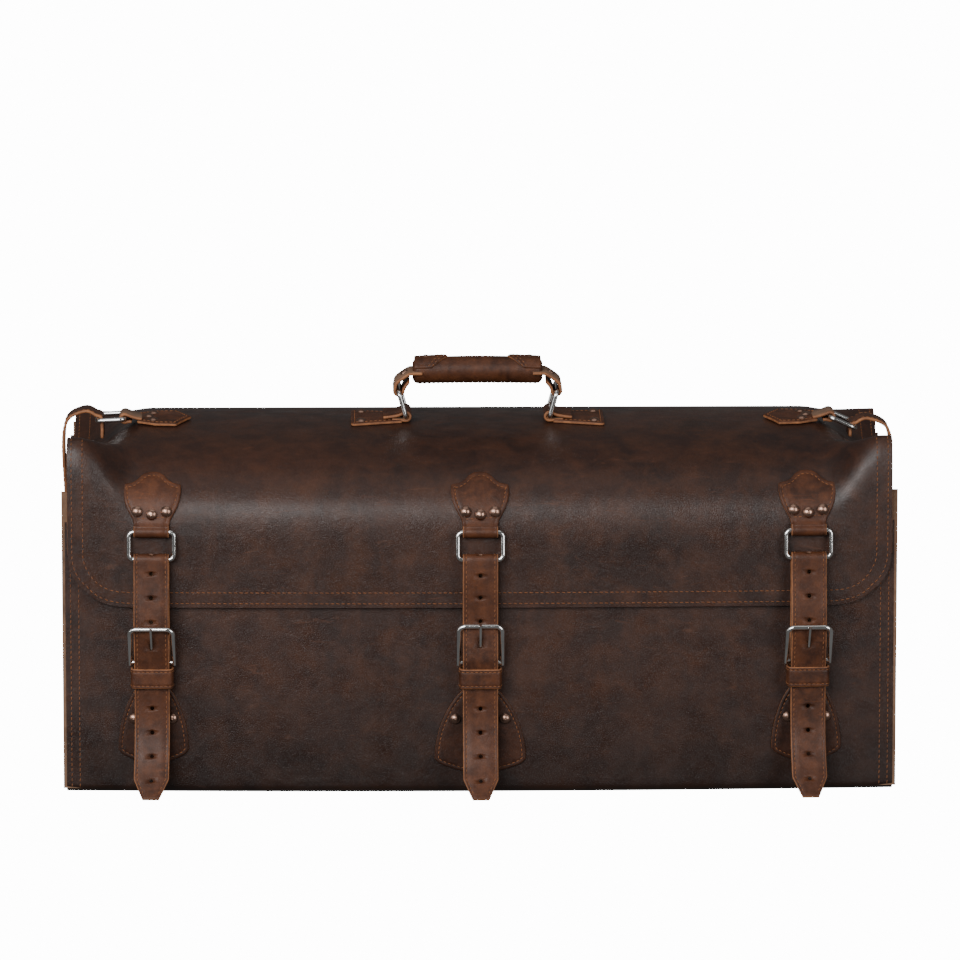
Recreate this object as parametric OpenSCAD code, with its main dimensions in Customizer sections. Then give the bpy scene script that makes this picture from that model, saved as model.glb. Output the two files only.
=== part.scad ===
// Leather garment bag: a long wrap-around case with a full-width flap, buckled
// closing straps on the front and on both ends, and a carry handle on two rings.
// X runs along the bag, -Y is the front, +Z is up, and the floor is at Z = 0.

/* [Case] */
// Width of the case across its front panel
body_w = 712; // [600:1:800]
// Depth of the case from front panel to back panel
body_d = 240; // [200:1:280]
// Height of the back wall, where the flap starts
back_h = 285; // [270:1:290]
// Height of the front wall under the flap
front_h = 236; // [215:1:238]
// Forward bulge of the front panel at its middle
bulge = 10; // [0:0.5:14]
// Thickness of the case and flap leather
leather = 3; // [2:0.1:3.4]
// Distance from the middle to the outer face of each end panel
end_x = 336; // [325:1:340]
// Thickness of the base board
board_t = 3; // [2:0.5:5]

/* [Flap] */
// Half of the flap's width
flap_half = 353.5; // [320:0.5:354]
// Height of the flap's lower edge
flap_low = 163; // [150:1:175]
// Corner radius of the flap's lower corners
flap_corner = 45; // [20:1:60]
// Height where the flap starts to curve back
shoulder_z = 240; // [238:1:246]
// Height of the flap's ridge
ridge_z = 307; // [300:1:315]
// How far the ridge lies behind the middle of the case
ridge_y = 30; // [20:1:45]
// How much the flap's ends sink between the front and back edges
end_dip = 70; // [30:1:68]
// Width of the edge strip sewn behind the flap
strip_w = 15; // [10:1:20]

/* [Closures] */
// Distance between the middle closure and each outer one
closure_pitch = 281; // [230:1:290]
// Width of the closing straps
strap_w = 30; // [24:0.5:31]
// Thickness of the strap leather
strap_t = 2.6; // [2:0.1:2.8]
// Height of the buckles' heel bars
heel_z = 116; // [112:1:120]
// Distance between the punched strap holes
hole_pitch = 20.5; // [18:0.5:24]

/* [Hardware] */
// Outer width of the rectangular rings
ring_w = 42.6; // [41:0.1:46]
// Outer height of the rectangular rings
ring_h = 27.5; // [26:0.1:30]
// Radius of the ring wire
ring_r = 2; // [1.6:0.1:2.1]
// Radius of the buckle wire
buckle_r = 1.9; // [1.6:0.1:2]
// Outer width of the buckle frames
buckle_w = 41.5; // [40:0.1:44]
// Height of a buckle frame from heel bar to corner
buckle_h = 34; // [30:0.5:38]
// Radius of the rivet caps
rivet_r = 4.6; // [3.5:0.1:5]

/* [Handle] */
// Distance from the middle to each ring's lower bar
handle_foot = 62.5; // [58:0.5:68]
// Outward lean of the handle rings in degrees
ring_lean = 15; // [10:1:18]
// Height of the grip's middle above the flap
grip_z = 43; // [41:0.5:46]
// Outer radius of the grip
grip_r = 12; // [10:0.5:13]
// Half length of the grip
grip_half = 56.5; // [50:0.5:58]

/* [Hidden] */
$fn = 32;
gap = 0.3;
eps = 0.01;
front_y = -body_d / 2;
back_y = body_d / 2;
flap_out = 2 * leather - 0.7;
tab_t = 2.5;
flange_w = body_w / 2 + 2.5 - end_x;
bar_gap = 23.5;
ring_corner = 4.2;
pi2 = 90;

CLOSURES = ["left", "middle", "right", "side_left", "side_right"];
FRONT = [0, 1, 2];
SIDES = ["left", "right"];
NODES = concat(
  ["case_wrap", "base_board", "gusset_left", "gusset_right"],
  ["flap_top", "flap_front", "flap_front_strip", "flap_top_strips"],
  [for (n = CLOSURES) str("bell_tab_", n)],
  [for (n = CLOSURES) str("keeper_", n)],
  [for (n = CLOSURES) str("strap_", n)],
  [for (n = CLOSURES) str("buckle_frame_", n)],
  [for (n = CLOSURES) str("buckle_prong_", n)],
  [for (i = FRONT) str("shield_tab_", CLOSURES[i])],
  [for (i = FRONT) str("front_ring_", CLOSURES[i])],
  [for (n = SIDES) str("corner_tab_", n)],
  [for (n = SIDES) str("side_ring_", n)],
  [for (n = SIDES) str("handle_tab_", n)],
  [for (n = SIDES) str("handle_ring_", n)],
  ["handle_strap", "handle_core", "handle_wrap"],
  ["rivets_case", "rivets_flap_front", "rivets_flap_top", "rivets_handle"]
);
node = "all";

// ---- The flap's surface -------------------------------------------------

// Forward bulge of the front at x
function bulge_at(x) = bulge * (1 - pow(x / (body_w / 2), 2));
// Turn of the front surface at x, in degrees
function front_turn(x) = atan(8 * bulge * x / (body_w * body_w));
// Smooth step from 0 to 1 as v goes from a to b
function smooth(v, a, b) =
  let (t = min(1, max(0, (v - a) / (b - a)))) t * t * (3 - 2 * t);
// Share of the sunken end section at x, step i; it starts later behind the
// shields and grows more slowly over the top
function end_share(x, i) =
  smooth(
    abs(x),
    304 - 18 * smooth(i, SPLIT - 1, SPLIT + 1),
    338 + 30 * smooth(i, SPLIT + 1, SPLIT + 3)
  );
// Height of the flap's lower edge at x, with its round corners
function low_edge(x) =
  let (c = max(0, abs(x) - flap_half + flap_corner))
  flap_low + flap_corner - sqrt(max(0, flap_corner * flap_corner - c * c));

// Steps along the section: upright front, front arch, back arch
UPRIGHT = 2;
ARCH = 10;
BACK = 6;
SPLIT = UPRIGHT + 5;
LAST = UPRIGHT + ARCH + BACK;
round_power = 1;

// Domed section of the outer face at x, step i, as [y, z]
function dome(x, i) =
  let (
    fy = front_y - flap_out - bulge_at(x),
    a = max(0, i - UPRIGHT) * 90 / ARCH,
    b = max(0, i - UPRIGHT - ARCH) * 90 / BACK
  )
  i < UPRIGHT
  ? [fy, low_edge(x) + (shoulder_z - low_edge(x)) * i / UPRIGHT]
  : i <= UPRIGHT + ARCH
    ? [
        ridge_y - (ridge_y - fy) * pow(max(0, cos(a)), round_power),
        shoulder_z + (ridge_z - shoulder_z) * pow(sin(a), round_power)
      ]
    : [
        ridge_y + (back_y + gap - ridge_y) * pow(sin(b), 0.9),
        back_h + gap + (ridge_z - back_h - gap) * pow(max(0, cos(b)), 0.9)
      ];

// Sunken section of the outer face at the flap's ends
function sunk(x, i) =
  let (
    fy = front_y - flap_out - bulge_at(x),
    a = (i - UPRIGHT) * 90 / ARCH,
    b = (i - UPRIGHT - ARCH) * 90 / BACK,
    rise = 89,
    valley = shoulder_z + rise - end_dip,
    crest = 20,
    back_dip = back_h + crest - valley
  )
  i <= UPRIGHT
  ? dome(x, i)
  : i <= UPRIGHT + ARCH
    ? [
        fy * pow(max(0, cos(a)), 0.5),
        shoulder_z + rise * pow(sin(a), 0.4) - end_dip * pow(sin(a), 6)
      ]
    : [
        (back_y + gap) * pow(sin(b), 0.6),
        back_h + gap + crest * pow(max(0, cos(b)), 0.35)
        - back_dip * pow(max(0, cos(b)), 4)
      ];

// Outer face of the flap at x, step i
function skin(x, i) =
  let (w = end_share(x, i)) (1 - w) * dome(x, i) + w * sunk(x, i);
// Outward normal of the flap's section at x, step i
function skin_normal(x, i) =
  let (
    d = skin(x, min(LAST, i + 0.5)) - skin(x, max(0, i - 0.5))
  ) [-d[1], d[0]] / norm(d);
// Point under the outer face, deep below it
function under_skin(x, i, deep) =
  let (p = skin(x, i) - deep * skin_normal(x, i)) [x, p[0], p[1]];

// Height of the domed top at y, clear of its ends
function top_z(y) =
  let (
    u = abs(y - ridge_y) / (ridge_y - front_y + flap_out + bulge),
    p = 2 / round_power
  ) shoulder_z + (ridge_z - shoulder_z) * pow(1 - pow(u, p), 1 / p);
// Slope of the domed top at y, in degrees
function top_slope(y) = atan((top_z(y + 1) - top_z(y - 1)) / 2);
seat_slope = top_slope(0);
seat_z = top_z(0);

// ---- Small helpers ------------------------------------------------------

// Points of a ribbon of thickness t along the centre line p
function ribbon(p, t) =
  let (
    n = len(p),
    side = [
      for (i = [0 : n - 1])
        let (d = p[min(n - 1, i + 1)] - p[max(0, i - 1)])
        [-d[1], d[0]] / norm(d) * t / 2
    ]
  ) concat(
    [for (i = [0 : n - 1]) p[i] + side[i]],
    [for (i = [n - 1 : -1 : 0]) p[i] - side[i]]
  );
// Arc of radius r about c from angle a to angle b
function arc(c, r, a, b, n = 8) =
  [for (k = [0 : n]) let (t = a + (b - a) * k / n) c + r * [cos(t), sin(t)]];
function flip_x(p) = [for (i = [len(p) - 1 : -1 : 0]) [-p[i][0], p[i][1]]];

// An outline in X and Z, drawn towards the front, from y0 to y1
module facing(y0, y1) {
  translate([0, y1, 0]) rotate([90, 0, 0]) linear_extrude(y1 - y0) children();
}
// An outline of [outward, up] points, drawn along X with width w
module across(w) {
  rotate([90, 0, -90]) translate([0, 0, -w / 2]) linear_extrude(w) children();
}
// A rectangle with round corners
module soft_rect(w, h, r) {
  square([w - 2 * r, h], center = true);
  square([w, h - 2 * r], center = true);
  for (x = [-1, 1], y = [-1, 1])
    translate([x * (w / 2 - r), y * (h / 2 - r)]) circle(r);
}
// A bent wire: an arc in the XZ plane
module wire_arc(bend, r, a, b) {
  rotate([90, 0, 0]) rotate([0, 0, a])
    rotate_extrude(angle = b - a) translate([bend, 0]) circle(r);
}
// A rectangular wire ring in the XZ plane, hanging from its upper bar
module rect_ring() {
  w = ring_w / 2 - ring_r;
  flat = w - ring_corner;
  side = bar_gap - 2 * ring_corner;
  for (z = [0, -bar_gap])
    translate([-flat, 0, z]) rotate([0, 90, 0]) cylinder(h = 2 * flat, r = ring_r);
  for (x = [-w, w])
    translate([x, 0, -bar_gap + ring_corner]) cylinder(h = side, r = ring_r);
  for (k = [[1, -1, 0], [-1, -1, 90], [-1, 1, 180], [1, 1, 270]])
    translate([k[0] * flat, 0, k[1] < 0 ? -ring_corner : ring_corner - bar_gap])
      wire_arc(ring_corner, ring_r, k[2], k[2] + pi2);
}
// A domed rivet cap on a short shank, standing on Z = 0
module rivet(r = rivet_r, rise = 2.2) {
  big = (r * r + rise * rise) / (2 * rise);
  intersection() {
    translate([0, 0, rise - big]) sphere(big, $fn = 48);
    cylinder(h = 2 * rise, r = r);
  }
  translate([0, 0, -tab_t + 0.1]) cylinder(h = tab_t, r = 1.4);
}
module rivet_hole() {
  translate([0, 0, -6]) cylinder(h = 12, r = 1.4);
}

// ---- Case ---------------------------------------------------------------

// Plan of the bulged front wall between two distances from its outer face
module front_plan(half, near, far) {
  xs = [for (k = [-12 : 12]) k * half / 12];
  polygon(concat(
    [for (x = xs) [x, front_y - bulge_at(x) - far]],
    [for (k = [len(xs) - 1 : -1 : 0]) [xs[k], front_y - bulge_at(xs[k]) - near]]
  ));
}

module case_wrap() {
  half = body_w / 2;
  color("#3d2b24") {
    linear_extrude(front_h) front_plan(half, -leather, 0);
    linear_extrude(leather) {
      front_plan(half, -leather, 0);
      translate([-half, front_y + eps]) square([2 * half, body_d - eps]);
    }
    translate([-half, back_y - leather, 0]) cube([2 * half, leather, back_h - 2]);
  }
}

module base_board() {
  w = 2 * (end_x - leather) - 6;
  color("#8a7a66")
    translate([-w / 2, front_y + leather + 4, leather + gap])
      cube([w, body_d - 2 * leather - 8, board_t]);
}

// One end panel: a recessed web with its edges turned outward
module gusset(side) {
  inner = body_d / 2 - leather - gap;
  top = [
    [-inner, shoulder_z + 22], [-inner + 20, shoulder_z + 34], [-45, 246], [0, 240],
    [45, 246], [inner - 25, 262], [inner, back_h - 12]
  ];
  base = leather + gap;
  color("#37261f") scale([side, 1, 1]) {
    intersection() {
      translate([0, 0, base]) linear_extrude(back_h) union() {
        translate([end_x - leather, -inner]) square([leather, 2 * inner]);
        for (y = [-inner, inner - leather])
          translate([end_x - leather, y]) square([flange_w + leather, leather]);
      }
      rotate([90, 0, 90]) linear_extrude(body_w)
        polygon(concat(top, [[inner, 0], [-inner, 0]]));
    }
    translate([end_x - leather, -inner, base])
      cube([flange_w + leather, 2 * inner, leather]);
  }
}

// ---- Flap ---------------------------------------------------------------

// A curved sheet of the flap over columns xs and steps ks, between two depths
module flap_sheet(xs, rows, near, far) {
  nx = len(xs);
  nk = len(rows[0]);
  outer = [for (a = [0 : nx - 1], k = rows[a]) under_skin(xs[a], k, near)];
  inner = [for (a = [0 : nx - 1], k = rows[a]) under_skin(xs[a], k, far)];
  m = nx * nk;
  function at(a, b) = a * nk + b;
  top = [
    for (a = [0 : nx - 2], b = [0 : nk - 2])
      each [
        [at(a, b), at(a, b + 1), at(a + 1, b + 1)],
        [at(a, b), at(a + 1, b + 1), at(a + 1, b)]
      ]
  ];
  under = [for (f = top) [f[2] + m, f[1] + m, f[0] + m]];
  rim = concat(
    [for (a = [0 : nx - 2]) [at(a, 0), at(a + 1, 0)]],
    [for (b = [0 : nk - 2]) [at(nx - 1, b), at(nx - 1, b + 1)]],
    [for (a = [nx - 1 : -1 : 1]) [at(a, nk - 1), at(a - 1, nk - 1)]],
    [for (b = [nk - 1 : -1 : 1]) [at(0, b), at(0, b - 1)]]
  );
  walls = [
    for (e = rim)
      each [[e[0], e[1], e[1] + m], [e[0], e[1] + m, e[0] + m]]
  ];
  polyhedron(concat(outer, inner), concat(top, under, walls), convexity = 6);
}

half_columns = [0, 70, 140, 210, 270, 290, 300, 308, 315, 322, 328, 334, 344, 350, flap_half];
COLUMNS = concat(
  [for (k = [len(half_columns) - 1 : -1 : 1]) -half_columns[k]],
  half_columns
);

// How far the cut between the flap's parts has gone down at x: at the ends it
// runs below the raised corner, which lies outside the hinge's axis
function cut_share(x) = min(1, 2.2 * end_share(x, SPLIT));
function front_steps(x) =
  let (top = SPLIT - 0.14 - 4.3 * cut_share(x))
  concat([0, 1], [for (j = [0 : 5]) UPRIGHT + (top - UPRIGHT) * j / 5]);
function top_steps(x) =
  let (foot = SPLIT + 0.14 - 4.1 * cut_share(x), next = SPLIT + 2)
  concat([for (j = [0 : 5]) foot + (next - foot) * j / 6], [for (k = [next : LAST]) k]);

module flap_front() {
  color("#3f2b24")
    flap_sheet(COLUMNS, [for (x = COLUMNS) front_steps(x)], 0, leather);
}

module flap_top() {
  color("#412d25")
    flap_sheet(COLUMNS, [for (x = COLUMNS) top_steps(x)], 0, leather);
}

// The strip behind the flap's front: two sides and the lower edge
module flap_front_strip() {
  near = leather + 0.6;
  far = near + 1.4;
  side = [for (x = [flap_half - strip_w, 344, 350, flap_half - 1]) x];
  foot = [-308, -240, -160, -80, 0, 80, 160, 240, 308];
  color("#5a3b2a") {
    for (s = [-1, 1])
      flap_sheet(
        s > 0 ? side : [for (k = [len(side) - 1 : -1 : 0]) -side[k]],
        [for (x = side) [1, UPRIGHT]], near, far
      );
    flap_sheet(foot, [for (x = foot) [0.02, 0.64]], near, far);
  }
}

module flap_top_strips() {
  near = leather + 0.6;
  far = near + 1.4;
  side = [flap_half - strip_w, 344, 350, flap_half - 1];
  color("#5a3b2a")
    for (s = [-1, 1])
      flap_sheet(
        s > 0 ? side : [for (k = [len(side) - 1 : -1 : 0]) -side[k]],
        [for (x = side) [for (k = [UPRIGHT + 2 : LAST - 1]) k]], near, far
      );
}

// ---- Closures -----------------------------------------------------------

// Tilt of each buckle and place of each ring's upper bar, as [outward, up]
function closure_x(i) = [-closure_pitch, 0, closure_pitch][i];
function buckle_tilt(i) = [24, 14, 24, 20, 20][i];
function heel(i) = [9.9, heel_z];
function top_bar(i) =
  heel(i) + buckle_h * [sin(buckle_tilt(i)), cos(buckle_tilt(i))];
RING_BAR = [10.4, 229.5];
RING_DROP = [3, 5, 3];
function ring_foot(i) =
  RING_BAR + bar_gap * [sin(RING_DROP[i]), -cos(RING_DROP[i])];

// Moves to the closure's place: outward is -Y and the panel face is at Y = 0
module at_closure(i) {
  if (i < 3) {
    x = closure_x(i);
    translate([x, front_y - bulge_at(x), 0]) rotate([0, 0, front_turn(x)]) children();
  } else {
    s = i == 3 ? -1 : 1;
    translate([s * end_x, 0, 0]) rotate([0, 0, s * 90]) children();
  }
}

// Bell-shaped tab with the folded chape that holds the heel bar
module bell_tab(i) {
  wide = i == 1 ? 39 : 30;
  corner_z = i == 1 ? 30 : 38;
  half_neck = strap_w / 2;
  edge = [
    for (k = [0 : 8])
      let (t = k / 8) [
        half_neck + (wide - half_neck) * sin(90 * t), 90 - (90 - corner_z) * pow(t, 1.25)
      ]
  ];
  foot = [for (k = [1 : 5]) let (t = k / 5) [wide * (1 - t), corner_z - 14 * pow(t, 0.6)]];
  right = concat([[half_neck, 97]], edge, foot);
  chape = concat(
    [[3.85, 95], [4.6, 101], [6.5, 108]],
    arc(heel(i), 3.4, 180, 0, 10),
    [[11.6, 109], [9, 102], [7.6, 98]]
  );
  color("#5b3a29") at_closure(i) {
    difference() {
      facing(-5.1, -2.6) polygon(concat(right, flip_x(right)));
      for (x = [-1, 1])
        translate([x * (wide * 0.55), 0, 66]) rotate([90, 0, 0]) rivet_hole();
    }
    difference() {
      across(strap_w - 3) polygon(ribbon(chape, 2.4));
      translate([-3, -20, heel_z - 7]) cube([6, 30, 20]);
    }
  }
}

// Height of the strap's front ply to its distance from the panel
function front_ply(i) =
  let (t = top_bar(i), h = heel(i))
  concat(
    [
      [t[1] + 9, t[0] - 3.2], [t[1] - 1, t[0] - 3.6], [h[1] + 4, 16.6],
      [h[1], 15.9], [h[1] - 4.5, 15.3], [104, 14.2], [93, 13.4]
    ],
    i < 3
    ? [
        [78, 13.2], [62, 14.2], [48, 17.2], [36, 21.6],
        [25, 27.2], [15, 33.8], [7, 40.2], [3, 43.8]
      ]
    : [[78, 12.4], [62, 12.2], [48, 12.8], [36, 14], [24, 15.6], [12, 17.4]]
  );
function ply_out(i, z) =
  let (p = front_ply(i)) lookup(z, [for (k = [len(p) - 1 : -1 : 0]) p[k]]);

// Centre line of the whole strap as [outward, up]
function strap_line(i) =
  let (
    ply = [for (p = front_ply(i)) [p[1], p[0]]],
    wrap = ring_r + 0.45 + strap_t / 2
  )
  i < 3
  ? concat(
      [[3.6, 114.5], [4.6, 126], [6.8, 150], [7.4, 165], ring_foot(i) - [wrap, 12]],
      arc(ring_foot(i), wrap, 180, 0),
      [ring_foot(i) + [wrap + 0.4, -16]],
      ply
    )
  : let (bar = side_bar(i - 3))
    concat(
      [bar + [-wrap - 0.2, i == 3 ? -16 : -8], bar + [-wrap, -4]],
      arc(bar, wrap, 180, 75, 5),
      [
        bar + [5.5, 6.8], bar + [11, 8.3], [19.5, bar[1] + 3], [23.6, bar[1] - 7],
        [24.6, 286], [24.2, 272], [22.4, 240], [20, 195]
      ],
      ply
    );

// Middle of the prong, from its heel bar over the top bar
function prong_tilt(i) = buckle_tilt(i) + asin((buckle_r + 1.75) / buckle_h);

module strap(i) {
  tip = 19;
  low = i < 3 ? 1.6 : 11;
  color("#6b4028") at_closure(i) difference() {
    across(strap_w) polygon(ribbon(strap_line(i), strap_t));
    // The slanted hole that the prong passes through
    translate([0, -heel(i)[0], heel(i)[1]]) rotate([prong_tilt(i), 0, 0])
      cylinder(h = 30, r = 1.9);
    for (z = [for (k = [1 : 4]) heel_z - k * hole_pitch * 0.97])
      translate([0, -ply_out(i, z) - 4, z]) rotate([-90, 0, 0]) cylinder(h = 8, r = 1.8);
    for (z = [for (k = [1 : 2]) heel_z + 16 + k * hole_pitch * (i < 3 ? 1 : 1.6)])
      translate([0, -(i < 3 ? 16 : 21) - 8, z]) rotate([-90, 0, 0])
        cylinder(h = (i < 3 ? 12 : 16), r = 1.8);
    for (s = [-1, 1])
      facing(-70, 5) polygon([
        [s * (strap_w / 2 + 1), low - 3], [s * 7, low - 3], [s * 7, low],
        [s * strap_w / 2, low + tip], [s * (strap_w / 2 + 1), low + tip]
      ]);
  }
}

// Leather loop that holds the strap's loose end
module keeper(i) {
  high = 17;
  deep = 19;
  color("#6b4028") at_closure(i)
    translate([0, -0.3 - deep / 2, heel_z - 21.5]) linear_extrude(high) difference() {
      soft_rect(strap_w + 7, deep, 3.5);
      soft_rect(strap_w + 2.4, deep - 4.2, 2);
    }
}

// Heel-bar buckle frame: a bar held by a bent bow
module buckle_frame(i) {
  arm_r = buckle_r + 0.1;
  a = buckle_w / 2 - arm_r;
  bend = 6;
  rise = buckle_h - bend;
  color("#d9d9dc") at_closure(i)
    translate([0, -heel(i)[0], heel(i)[1]]) rotate([buckle_tilt(i), 0, 0]) {
      translate([-a, 0, 0]) rotate([0, 90, 0]) cylinder(h = 2 * a, r = buckle_r);
      for (s = [-1, 1])
        translate([s * a, 0, -arm_r]) cylinder(h = rise + arm_r, r = arm_r);
      translate([a - bend, 0, rise]) wire_arc(bend, arm_r, 0, 90);
      translate([bend - a, 0, rise]) wire_arc(bend, arm_r, 90, 180);
      translate([bend - a, 0, buckle_h]) rotate([0, 90, 0])
        cylinder(h = 2 * (a - bend), r = arm_r);
    }
}

// Prong: a knuckle on the heel bar and a pin that rests on the top bar
module buckle_prong(i) {
  color("#cfcfd3") at_closure(i) translate([0, -heel(i)[0], heel(i)[1]]) {
    difference() {
      union() {
        translate([-2.4, 0, 0]) rotate([0, 90, 0]) cylinder(h = 4.8, r = buckle_r + 1.2);
        rotate([prong_tilt(i), 0, 0]) cylinder(h = buckle_h + 3, r = 1.3);
      }
      translate([-5, 0, 0]) rotate([0, 90, 0]) cylinder(h = 10, r = buckle_r + 0.08);
    }
  }
}

// Section steps that the shield tab covers, from its fold to its point
SHIELD = [for (k = [0 : 9]) UPRIGHT - 0.02 + k * 0.5];
// The shield's section as [outward, up], lift above the flap
function shield_point(i, k, lift) =
  let (x = closure_x(i), p = skin(x, k) + lift * skin_normal(x, k))
  [front_y - bulge_at(x) - p[0], p[1]];

// Shield-shaped tab whose fold holds the ring
module shield_tab(i) {
  wrap = ring_r + 0.45 + tab_t / 2;
  line = concat(
    [for (k = [len(SHIELD) - 1 : -1 : 0]) shield_point(i, SHIELD[k], 0.4 + tab_t / 2)],
    [RING_BAR + [-1.4, 6.2]],
    arc(RING_BAR, wrap, 60, -180, 12),
    [RING_BAR + [-wrap, 2.4]]
  );
  right = [
    [0, 275.5], [5, 275], [9.5, 273], [13, 270], [17, 267.8], [24.4, 266.4],
    [24.6, 261], [23.6, 255], [21.5, 249], [18.5, 243.5], [16, 239.5], [15, 235],
    [15, 220]
  ];
  color("#6b4028") at_closure(i) difference() {
    intersection() {
      across(60) polygon(ribbon(line, tab_t));
      facing(-30, 60) polygon(concat(right, flip_x(right)));
    }
    shield_rivets(i) rivet_hole();
  }
}

// Places of the shield's three rivets
module shield_rivets(i) {
  for (k = [[-12.5, 0.6], [12.5, 0.6], [0, 0.37]]) {
    step = UPRIGHT + k[1];
    p = shield_point(i, step, 0.45 + tab_t);
    n = skin_normal(closure_x(i), step);
    translate([k[0], -p[0], p[1]]) rotate([atan2(-n[0], n[1]), 0, 0]) children();
  }
}

module front_ring(i) {
  color("#d9d9dc") at_closure(i)
    translate([0, -RING_BAR[0], RING_BAR[1]]) rotate([-RING_DROP[i], 0, 0]) rect_ring();
}

// ---- Top fittings -------------------------------------------------------

// A strip that follows the domed top from y0 to y1, with a length along X
module top_strip(x0, x1, y0, y1, lift, thick) {
  ys = [for (k = [0 : 8]) y0 + (y1 - y0) * k / 8];
  function up(y, d) = [y, top_z(y)] + d * [-sin(top_slope(y)), cos(top_slope(y))];
  translate([x0, 0, 0]) rotate([90, 0, 90]) linear_extrude(x1 - x0)
    polygon(concat(
      [for (y = ys) up(y, lift)],
      [for (k = [len(ys) - 1 : -1 : 0]) up(ys[k], lift + thick)]
    ));
}
// Moves to the middle of the top, tilted with it
module on_seat() {
  translate([0, 0, seat_z]) rotate([seat_slope, 0, 0]) children();
}
module mirrored(k) {
  scale([k == 0 ? -1 : 1, 1, 1]) children();
}

FOOT_BAR = [handle_foot, 5.2];
HAND_BAR = FOOT_BAR + bar_gap * [sin(ring_lean), cos(ring_lean)];
TOP_LIFT = 0.4;

// Tab that holds a handle ring: a plate with a fold at its inner end
module handle_tab(k) {
  wrap = ring_r + 0.4 + tab_t / 2;
  line = concat(
    [[handle_foot + 12, TOP_LIFT + 1.9], [handle_foot + 7, 2.2]],
    arc(FOOT_BAR, wrap, -90, -300, 12),
    [[handle_foot + 5.5, 6.4], [handle_foot + 12, 4.8]]
  );
  color("#5b3a29") mirrored(k) {
    difference() {
      intersection() {
        top_strip(handle_foot + 6, 110, -25, 25, TOP_LIFT, tab_t);
        linear_extrude(400) polygon([
          [handle_foot, -16], [108, -25], [110, -23], [110, 23], [108, 25], [handle_foot, 16]
        ]);
      }
      handle_rivets() rivet_hole();
    }
    difference() {
      on_seat() translate([0, strap_w / 2, 0]) rotate([90, 0, 0])
        linear_extrude(strap_w) polygon(ribbon(line, tab_t));
      handle_rivets() rivet_hole();
    }
  }
}
module handle_rivets() {
  for (p = [[101.5, -17], [101.5, 17]])
    translate([p[0], p[1], top_z(p[1]) + TOP_LIFT + tab_t + 0.05])
      rotate([top_slope(p[1]), 0, 0]) children();
}

module handle_ring(k) {
  color("#d9d9dc") mirrored(k) on_seat()
    translate([FOOT_BAR[0], 0, FOOT_BAR[1]]) rotate([0, ring_lean, 0])
      translate([0, 0, bar_gap]) rotate([0, 0, 90]) rect_ring();
}

// Handle strap: a flat middle inside the grip and a fold round each ring
module handle_strap() {
  wrap = ring_r + 0.6 + strap_t / 2;
  end = concat(
    [[grip_half + 0.4, grip_z], [grip_half + 3.2, grip_z - 0.4], [66, grip_z - 4.6]],
    [HAND_BAR + [wrap - 1.2, 6.6]],
    arc(HAND_BAR, wrap, 30, -180, 12),
    [HAND_BAR + [-wrap - 1.4, 3.6], HAND_BAR + [-wrap - 4.6, 7.4]]
  );
  color("#6b4028") on_seat() {
    for (s = [-1, 1])
      scale([s, 1, 1]) difference() {
        translate([0, 15, 0]) rotate([90, 0, 0])
          linear_extrude(strap_w) polygon(ribbon(end, strap_t));
        strap_end_rivet() rivet_hole();
      }
    translate([-grip_half - 2, -9, grip_z - strap_t / 2])
      cube([2 * grip_half + 4, 18, strap_t]);
  }
}
// Place of the rivet on each end of the handle strap
module strap_end_rivet() {
  translate([64, 0, grip_z - 1.55]) rotate([0, 32, 0]) children();
}

// Filler that makes the grip round
module handle_core() {
  color("#9a8468") on_seat() difference() {
    translate([-grip_half + 4, 0, grip_z]) rotate([0, 90, 0])
      cylinder(h = 2 * grip_half - 8, r = grip_r - 2.3);
    grip_pockets();
    translate([-grip_half, -9.2, grip_z - strap_t / 2 - 0.1])
      cube([2 * grip_half, 18.4, strap_t + 0.2]);
  }
}

// Pockets for the shanks of the grip's rivets
module grip_pockets() {
  for (s = [-1, 1]) translate([s * 45, 0, grip_z + 5]) cylinder(h = 12, r = 1.4);
}

// Leather sleeve sewn round the filler
module handle_wrap() {
  color("#6b4028") on_seat() difference() {
    translate([-grip_half, 0, grip_z]) rotate([0, 90, 0])
      cylinder(h = 2 * grip_half, r = grip_r);
    grip_pockets();
    translate([-grip_half - 1, 0, grip_z]) rotate([0, 90, 0])
      cylinder(h = 2 * grip_half + 2, r = grip_r - 2.2);
  }
}

// Ring bars at the bag's ends: inner bar, slope, and outer bar from the end panel
SIDE_BAR = [307, 309];
SIDE_SLOPE = [3, 24];
function side_bar(k) =
  SIDE_BAR + bar_gap * [cos(SIDE_SLOPE[k]), -sin(SIDE_SLOPE[k])] - [end_x, 0];

module side_ring(k) {
  color("#d9d9dc") mirrored(k)
    translate([SIDE_BAR[0], 0, SIDE_BAR[1]]) rotate([0, -90 + SIDE_SLOPE[k], 0])
      rotate([0, 0, 90]) rect_ring();
}

// Pointed tab near each top end, with a fold that holds the side ring
module corner_tab(k) {
  wrap = ring_r + 0.45 + tab_t / 2;
  flat_z = seat_z + 1.9;
  line = concat(
    [[292, flat_z + 0.4], [298, flat_z + 1.6]],
    arc(SIDE_BAR, wrap, 130, -130, 14),
    [[301, SIDE_BAR[1] - 2.9]]
  );
  color("#6b4028") mirrored(k) {
    difference() {
      intersection() {
        top_strip(249, 296, -24.5, 24.5, 0.7, tab_t);
        linear_extrude(400) polygon([
          [249.5, 0], [259, -18], [262, -24.5], [280, -23], [296, -15],
          [296, 15], [280, 23], [262, 24.5], [259, 18]
        ]);
      }
      corner_rivets() rivet_hole();
    }
    translate([0, 15, 0]) rotate([90, 0, 0]) linear_extrude(30) polygon(ribbon(line, tab_t));
  }
}
module corner_rivets() {
  for (p = [[282.5, -12.5], [282.5, 12.5], [286.5, 0]])
    translate([p[0], p[1], top_z(p[1]) + 0.75 + tab_t])
      rotate([top_slope(p[1]), 0, 0]) children();
}

// ---- Rivets -------------------------------------------------------------

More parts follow.
